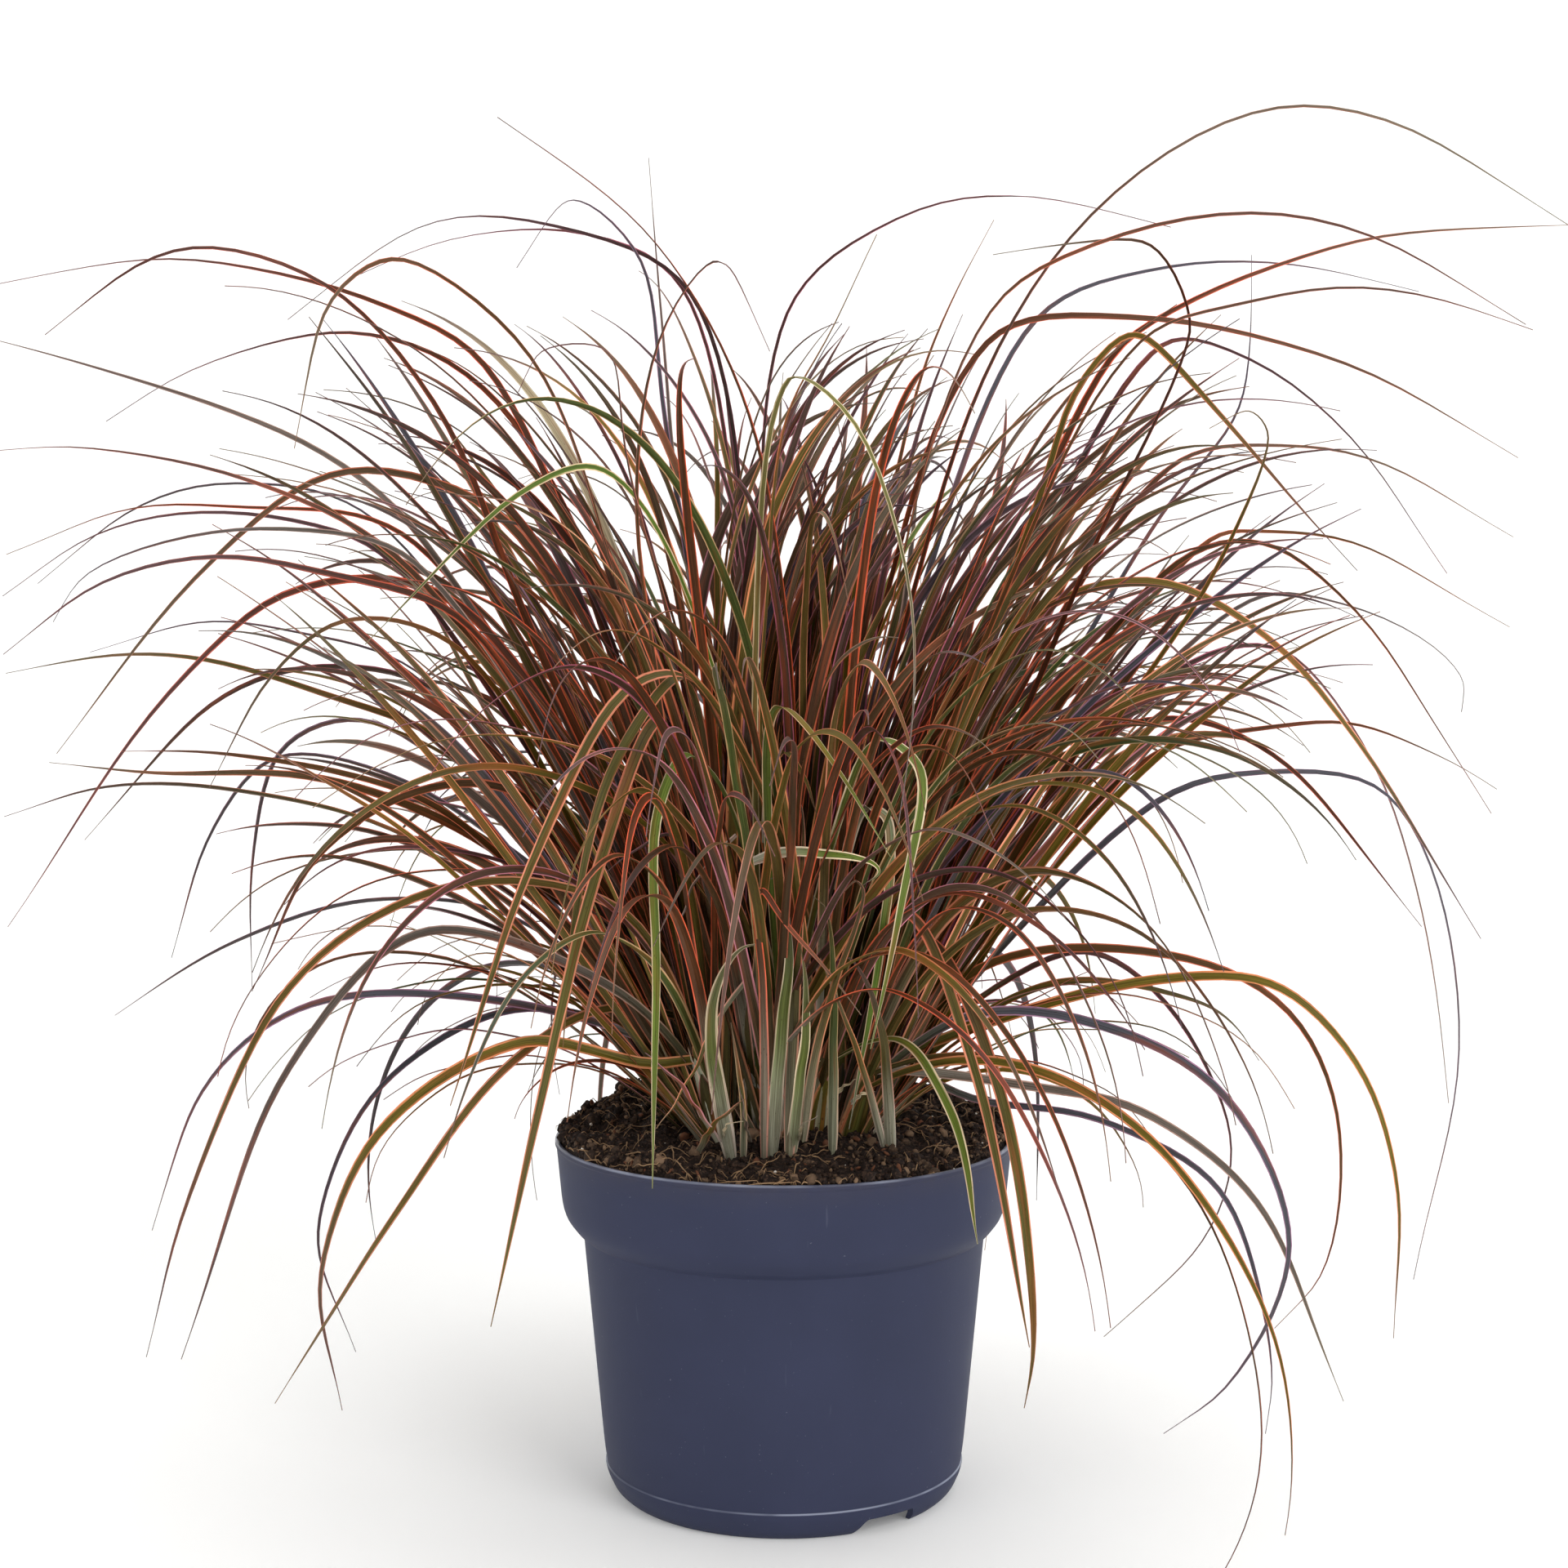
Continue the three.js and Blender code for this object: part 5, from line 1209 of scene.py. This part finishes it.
def shootPiece(base, material):
    # one shoot: its stem, the clasping feet of its leaves and the leaves themselves
    rings = [stemRings(base)]
    looks = [{"tone": "brown" if base["index"] % 3 else "olive", "shoot": base["index"]}]
    own = [leaf for leaf in placed if leaf["shoot"] == base["index"] and not leaf.get("sheath")]
    order = 0
    for leaf in own:
        if not leaf.get("kind") and not leaf.get("front"):
            least, span = stemShape["footRise"]
            rise = least + span * ((order + 1) * goldenShare % 1)
            rings.append(footRings(base, leaf["heading"], rise, 1 + order % 4))
            looks.append({"tone": leaf["tone"], "shoot": base["index"]})
            order += 1
        rings.append(bladeRings(leaf, blade["wispSteps"] if leaf.get("kind") == "wisp" else blade["steps"]))
        looks.append(leaf)
    points, uvs, cores, margins, seeds, quads, caps = [], [], [], [], [], [], []
    first = 0
    # uv: the share across, from 0 to 1, and the centimetres along
    across = (ringSides + 1) / 2
    cap = np.arange(ringCount)
    for (ring, shares, run), look in zip(rings, looks):
        rows = len(ring)
        core, margin = ringColors(*leafColors(look, shares))
        points.append(ring.reshape(-1, 3))
        uvs.append(np.stack([np.tile(across, rows), np.repeat(run * 0.1, ringCount)], axis=-1))
        cores.append(core)
        margins.append(margin)
        seeds.append(np.full(rows * ringCount, lookChance.uniform(0, leafLook["seedSpan"])))
        quads.append(gridFaces(rows, ringCount)[:, ::-1] + first)
        caps.append(np.array([cap, (rows - 1) * ringCount + cap[::-1]]) + first)
        first += rows * ringCount
    colors = {"coreColor": np.concatenate(cores), "marginColor": np.concatenate(margins),
              "leafSeed": np.concatenate(seeds)}
    return makePiece("shootLeaves%02d" % (base["index"] + 1), np.concatenate(points),
                     [np.concatenate(quads), np.concatenate(caps)], material, colors, np.concatenate(uvs),
                     blade["sharpAngle"])


leafSkin = leafMaterial()
for base in shoots:
    piece = shootPiece(base, leafSkin)
    settle(piece, "leaf_olive" if base["index"] % 2 else "leaf_red", "sedge_shoot_%02d" % (base["index"] + 1))
print("shoots made")


# Soil

soil = {
    "seed": 5, "rings": 110, "columns": 300, "edgeRadius": 91.4, "wallGap": 0.3,
    "lumps": ((13, 1.6), (6, 1.5), (3, 1.0), (1.5, 0.45)),
    "crumbs": 6400, "crumbSize": (0.6, 3.2), "clods": 900, "clodSize": (2, 6),
    "fibres": 430, "fibreRadius": (0.09, 0.3), "fibreLength": (4, 30), "fibreWander": 0.1,
    "perlite": 64, "perliteSize": (0.5, 1.8), "chips": 240, "chipSize": (1.2, 5), "rimGap": 0.3,
    "gridSize": 256, "edgeFall": 3.5, "edgeWidth": 5,
    # grains: how evenly they reach the edge, how near it they crowd, their form, and how they rest on the rim
    "evenShare": 0.94, "crowding": (0.5, 2.6), "squeeze": (0.6, 1), "flatten": (0.7, 1.2),
    "rough": (0.78, 1.22), "onRim": 0.36, "driest": 0.8, "dryPower": 7,
    # fibres: points in each, how many lie at the edge, how far past it they reach, and how high they arch
    "fibreRows": 14, "fibreEdge": 0.4, "fibrePast": (-2, 5), "fibreArch": (0.2, 3.2),
}
soilChance = np.random.default_rng(soil["seed"])


def soilTop(radius, angle):
    # nearly level over the crown, higher at the back of the rim, ragged all round
    edge = np.maximum(0, (radius - 45) / 50)
    ragged = np.sin(5 * angle + 1.3) + 0.7 * np.sin(11 * angle) + 0.5 * np.sin(radius / 6 + 3 * angle)
    rise = clump["soilBackRise"] * np.sin(angle) + clump["soilRagged"] * ragged - 1
    return clump["soilHeight"] + edge * rise


def lumpNoise(x, y, size, seed):
    # one random value at each corner of a square grid, blended between by 3t^2 - 2t^3
    corners = soil["gridSize"]
    grid = np.random.default_rng(seed).uniform(-1, 1, (corners, corners))
    u, v = x / size + corners // 2, y / size + corners // 2
    i, j = np.floor(u).astype(int), np.floor(v).astype(int)
    s, t = (u - i) ** 2 * (3 - 2 * (u - i)), (v - j) ** 2 * (3 - 2 * (v - j))
    near = grid[i, j] + (grid[i + 1, j] - grid[i, j]) * s
    far = grid[i, j + 1] + (grid[i + 1, j + 1] - grid[i, j + 1]) * s
    return near + (far - near) * t


def soilEdge(angle):
    # the root ball is not quite round: two slow waves round its edge
    return soil["edgeRadius"] + 1.6 * np.sin(4 * angle + 0.7) + 0.9 * np.sin(9 * angle)


def soilSurface(x, y):
    # the top with lumps of four sizes; its edge crumbles away and rounds down over its last millimetres
    radius, angle = np.hypot(x, y), np.arctan2(y, x)
    height = soilTop(radius, angle)
    for k, (size, amount) in enumerate(soil["lumps"]):
        height = height + amount * lumpNoise(x, y, size, soil["seed"] + k)
    fall = np.clip((radius - (soilEdge(angle) - soil["edgeWidth"])) / soil["edgeWidth"], 0, 1)
    return height - soil["edgeFall"] * fall ** 2.5


def peatMaterial():
    # damp peat: very dark, rough and matt, with fibres and grains of slightly different browns
    material, tree, shader = newMaterial("peat", {"Roughness": 0.93, "Specular IOR Level": 0.25})
    place = addNode(tree, "TexCoord", take="Object")
    coarse = addNode(tree, "TexNoise", {"Vector": place, "Scale": 1 / (7 * mm), "Detail": 6})
    fine = addNode(tree, "TexNoise", {"Vector": place, "Scale": 1 / (1.3 * mm), "Detail": 4})
    share = addNode(tree, "MapRange", {"Value": fine, "From Min": 0.5, "From Max": 0.72})
    # drier crumbs are paler: each has a share of its own
    dryness = addNode(tree, "Attribute", take="Fac", attribute_name="dryness")
    color = toLinear("#0b0807")
    for amount, shade in ((coarse, "#291d18"), (share, "#523e31"), (dryness, "#94785f")):
        color = addNode(tree, "Mix", {0: amount, 6: color, 7: toLinear(shade)}, 2, data_type="RGBA")
    finishShader(tree, shader, color, fine, 0.9, 0.6)
    return material


def fleckMaterial(name, low, high, grain, roughness):
    # a small natural piece in two close tones, with a fine relief
    material, tree, shader = newMaterial(name, {"Roughness": roughness})
    place = addNode(tree, "TexCoord", take="Object")
    noise = addNode(tree, "TexNoise", {"Vector": place, "Scale": 1 / (grain * mm), "Detail": 4})
    color = addNode(tree, "Mix", {0: noise, 6: toLinear(low), 7: toLinear(high)}, 2, data_type="RGBA")
    finishShader(tree, shader, color, noise, 0.6, 0.3)
    return material


def makeSoilMesh():
    # the lumpy top, then down inside the pot's wall to its floor
    around = np.linspace(0, 2 * math.pi, soil["columns"], endpoint=False)
    # rings lie a little closer together towards the edge
    share = np.linspace(0.004, 1, soil["rings"]) ** 0.85
    radius = share[:, None] * soilEdge(around)[None]
    top = turned(radius, soilSurface(radius * np.cos(around), radius * np.sin(around)), around)
    gap = pot["wall"] + soil["wallGap"]
    collarFoot = pot["height"] - pot["collarHeight"]
    ledge = pot["shoulderHeight"]
    inside = np.array([
        (pot["rimRadius"] - gap - 0.6, pot["height"] - 4),
        (pot["collarFootRadius"] - gap - 0.3, collarFoot + 11),
        (pot["bodyTopRadius"] - gap - 0.5, collarFoot + 1), (pot["bodyFootRadius"] - gap, ledge + 10),
        (pot["shoulderRadius"] - gap - 1.6, ledge + 1.4), (0.3, ledge + 1.4),
    ])
    below = turned(inside[:, :1], inside[:, 1:], around)
    points = np.concatenate([top, below]).reshape(-1, 3)
    rows, columns = soil["rings"] + len(inside), soil["columns"]
    ends = [np.arange(columns)[None], (rows - 1) * columns + np.arange(columns)[None, ::-1]]
    return points, [gridFaces(rows, columns)[:, ::-1], *ends]


def ballShape(splits):
    # an icosahedron, its faces split where asked, pushed out to a sphere
    g = (1 + math.sqrt(5)) / 2
    points = np.array([[-1, g, 0], [1, g, 0], [-1, -g, 0], [1, -g, 0], [0, -1, g], [0, 1, g],
                       [0, -1, -g], [0, 1, -g], [g, 0, -1], [g, 0, 1], [-g, 0, -1], [-g, 0, 1]], float)
    faces = np.array([[0, 11, 5], [0, 5, 1], [0, 1, 7], [0, 7, 10], [0, 10, 11], [1, 5, 9], [5, 11, 4],
                      [11, 10, 2], [10, 7, 6], [7, 1, 8], [3, 9, 4], [3, 4, 2], [3, 2, 6], [3, 6, 8],
                      [3, 8, 9], [4, 9, 5], [2, 4, 11], [6, 2, 10], [8, 6, 7], [9, 8, 1]])
    for _ in range(splits):
        edges = np.sort(np.concatenate([faces[:, [0, 1]], faces[:, [1, 2]], faces[:, [2, 0]]]), axis=1)
        unique, index = np.unique(edges, axis=0, return_inverse=True)
        middle = len(points) + index.reshape(3, -1)
        points = np.concatenate([points, points[unique].mean(axis=1)])
        a, b, c = faces.T
        ab, bc, ca = middle
        faces = np.concatenate([np.stack(three, axis=-1) for three in
                                ((a, ab, ca), (b, bc, ab), (c, ca, bc), (ab, bc, ca))])
    return points / np.linalg.norm(points, axis=1)[:, None], faces


def randomTurns(count):
    # even random rotations, from unit quaternions
    w, x, y, z = soilChance.normal(size=(count, 4)).T
    size = np.sqrt(w * w + x * x + y * y + z * z)
    w, x, y, z = w / size, x / size, y / size, z / size
    return np.stack([
        np.stack([1 - 2 * (y * y + z * z), 2 * (x * y - w * z), 2 * (x * z + w * y)], axis=-1),
        np.stack([2 * (x * y + w * z), 1 - 2 * (x * x + z * z), 2 * (y * z - w * x)], axis=-1),
        np.stack([2 * (x * z - w * y), 2 * (y * z + w * x), 1 - 2 * (x * x + y * y)], axis=-1)], axis=1)


def spots(count, edgeShare):
    # places on the soil: a share of them crowd its last few millimetres, the rest lie evenly over it
    angle = soilChance.uniform(0, 2 * math.pi, count)
    evenly = soilEdge(angle) * np.sqrt(soilChance.uniform(0, soil["evenShare"], count))
    atEdge = soilEdge(angle) - np.abs(soilChance.normal(*soil["crowding"], count))
    radius = np.where(soilChance.uniform(size=count) < edgeShare, atEdge, evenly)
    return radius * np.cos(angle), radius * np.sin(angle)


def scatter(count, sizes, flatness, splits, edgeShare, sunk):
    # rough grains, each its own jittered ball, squeezed, turned and set into the soil
    shape, faces = ballShape(splits)
    x, y = spots(count, edgeShare)
    # most are small: the size grows with the square of an even draw
    size = sizes[0] + (sizes[1] - sizes[0]) * soilChance.uniform(size=count) ** 2
    squeeze = np.stack([np.ones(count), soilChance.uniform(*soil["squeeze"], count),
                        flatness * soilChance.uniform(*soil["flatten"], count)], axis=-1)
    grains = shape[None] * soilChance.uniform(*soil["rough"], (count, len(shape), 1)) * squeeze[:, None]
    grains = np.einsum("nij,nkj->nki", randomTurns(count), grains) * size[:, None, None] / 2
    # grains at the edge stay inside the pot's rim, or rest on it
    out = np.hypot(x, y)
    pull = np.minimum(1, (pot["rimRadius"] - soil["rimGap"] - 0.4 * size) / np.maximum(out, 1))
    x, y = x * pull, y * pull
    z = soilSurface(x, y) + (0.5 - sunk) * size * 0.6
    onRim = pot["height"] + soil["onRim"] * size
    z = np.where(out > pot["rimRadius"] - pot["wall"] - 0.4 * size, np.maximum(z, onRim), z)
    grains += np.stack([x, y, z], axis=-1)[:, None]
    block = (faces[None] + len(shape) * np.arange(count)[:, None, None]).reshape(-1, 3)
    dryness = np.repeat(soil["driest"] * soilChance.uniform(size=count) ** soil["dryPower"], len(shape))
    return grains.reshape(-1, 3), block, {"dryness": dryness}


def tubes(lines, radius, sides=4):
    # round threads along many lines at once, thinner towards both ends: radius x (1 - 0.75 |2s - 1|^3)
    along = np.gradient(lines, axis=1)
    along /= np.linalg.norm(along, axis=2, keepdims=True)
    side = np.cross(along, np.array([0.13, 0.21, 0.97]))
    side /= np.linalg.norm(side, axis=2, keepdims=True)
    up = np.cross(along, side)
    count, rows = lines.shape[:2]
    share = np.linspace(0, 1, rows)
    girth = radius[:, None] * (1 - 0.75 * np.abs(2 * share - 1)[None] ** 3)
    turn = np.arange(sides) * 2 * math.pi / sides
    cos, sin = np.cos(turn)[:, None], np.sin(turn)[:, None]
    ring = side[:, :, None] * cos + up[:, :, None] * sin
    points = lines[:, :, None] + ring * girth[:, :, None, None]
    starts = (np.arange(count) * rows * sides)[:, None, None]
    quads = (gridFaces(rows, sides)[None] + starts).reshape(-1, 4)
    ends = np.array([np.arange(sides)[::-1], (rows - 1) * sides + np.arange(sides)])
    return points.reshape(-1, 3), [quads, (ends[None] + starts).reshape(-1, sides)]


def fibreLines():
    # root fibres: each wanders over the soil with a smoothly changing bearing, and now and then arches up
    count, rows = soil["fibres"], soil["fibreRows"]
    x, y = spots(count, soil["fibreEdge"])
    shortest, longest = soil["fibreLength"]
    length = shortest + (longest - shortest) * soilChance.uniform(size=count) ** 2
    bearing = soilChance.uniform(0, 2 * math.pi, count)[:, None]
    bearing = bearing + np.cumsum(soilChance.normal(0, soil["fibreWander"], (count, rows)), axis=1)
    step = length[:, None] / rows
    px = x[:, None] + np.cumsum(step * np.cos(bearing), axis=1)
    py = y[:, None] + np.cumsum(step * np.sin(bearing), axis=1)
    angle = np.arctan2(py, px)
    limit = soilEdge(angle) + soilChance.uniform(*soil["fibrePast"], count)[:, None]
    pull = np.minimum(1, limit / np.maximum(np.hypot(px, py), 1))
    px, py = px * pull, py * pull
    # a thread lies on the soil, or on the rim where it reaches past it
    share = np.linspace(0, 1, rows)[None]
    arch = soilChance.uniform(*soil["fibreArch"], count)[:, None] * np.sin(math.pi * share)
    inside = np.minimum(1, (soilEdge(angle) - 1) / np.maximum(np.hypot(px, py), 1))
    z = soilSurface(px * inside, py * inside)
    z = np.maximum(z, np.where(np.hypot(px, py) > pot["rimRadius"] - 3, pot["height"] + 0.4, 0)) + arch + 0.1
    return np.stack([px, py, z], axis=-1)


soilPoints, soilFaces = makeSoilMesh()
settle(makePiece("pottingPeat", soilPoints, soilFaces, peatMaterial()), "soil", "potting_soil")
peat = bpy.data.materials["peat"]
barkSkin = fleckMaterial("compostedBark", "#3b2317", "#7d4a2c", 1.5, 0.85)    # red-brown, dull, flat chips
grains = [
    ("peatCrumbs", scatter(soil["crumbs"], soil["crumbSize"], 0.8, 0, 0.4, 0.2), peat),
    ("peatClods", scatter(soil["clods"], soil["clodSize"], 0.75, 1, 0.45, 0.3), peat),
    ("perliteGrains", scatter(soil["perlite"], soil["perliteSize"], 0.9, 1, 0.35, 0.2),
     fleckMaterial("perlite", "#cfc8bc", "#f1ede4", 0.5, 0.8)),    # chalky white puffed grains
    ("barkChips", scatter(soil["chips"], soil["chipSize"], 0.35, 1, 0.35, 0.25), barkSkin),
]
for name, (points, faces, colors), material in grains:
    settle(makePiece(name, points, [faces], material, colors), "soil")
fibreRadius = soilChance.uniform(*soil["fibreRadius"], soil["fibres"])
fibrePoints, fibreFaces = tubes(fibreLines(), fibreRadius)
fibreSkin = fleckMaterial("driedRoot", "#33221a", "#c09a70", 9, 0.85)    # tan to dark brown along a thread
settle(makePiece("rootFibres", fibrePoints, fibreFaces, fibreSkin), "soil")
print("soil made")
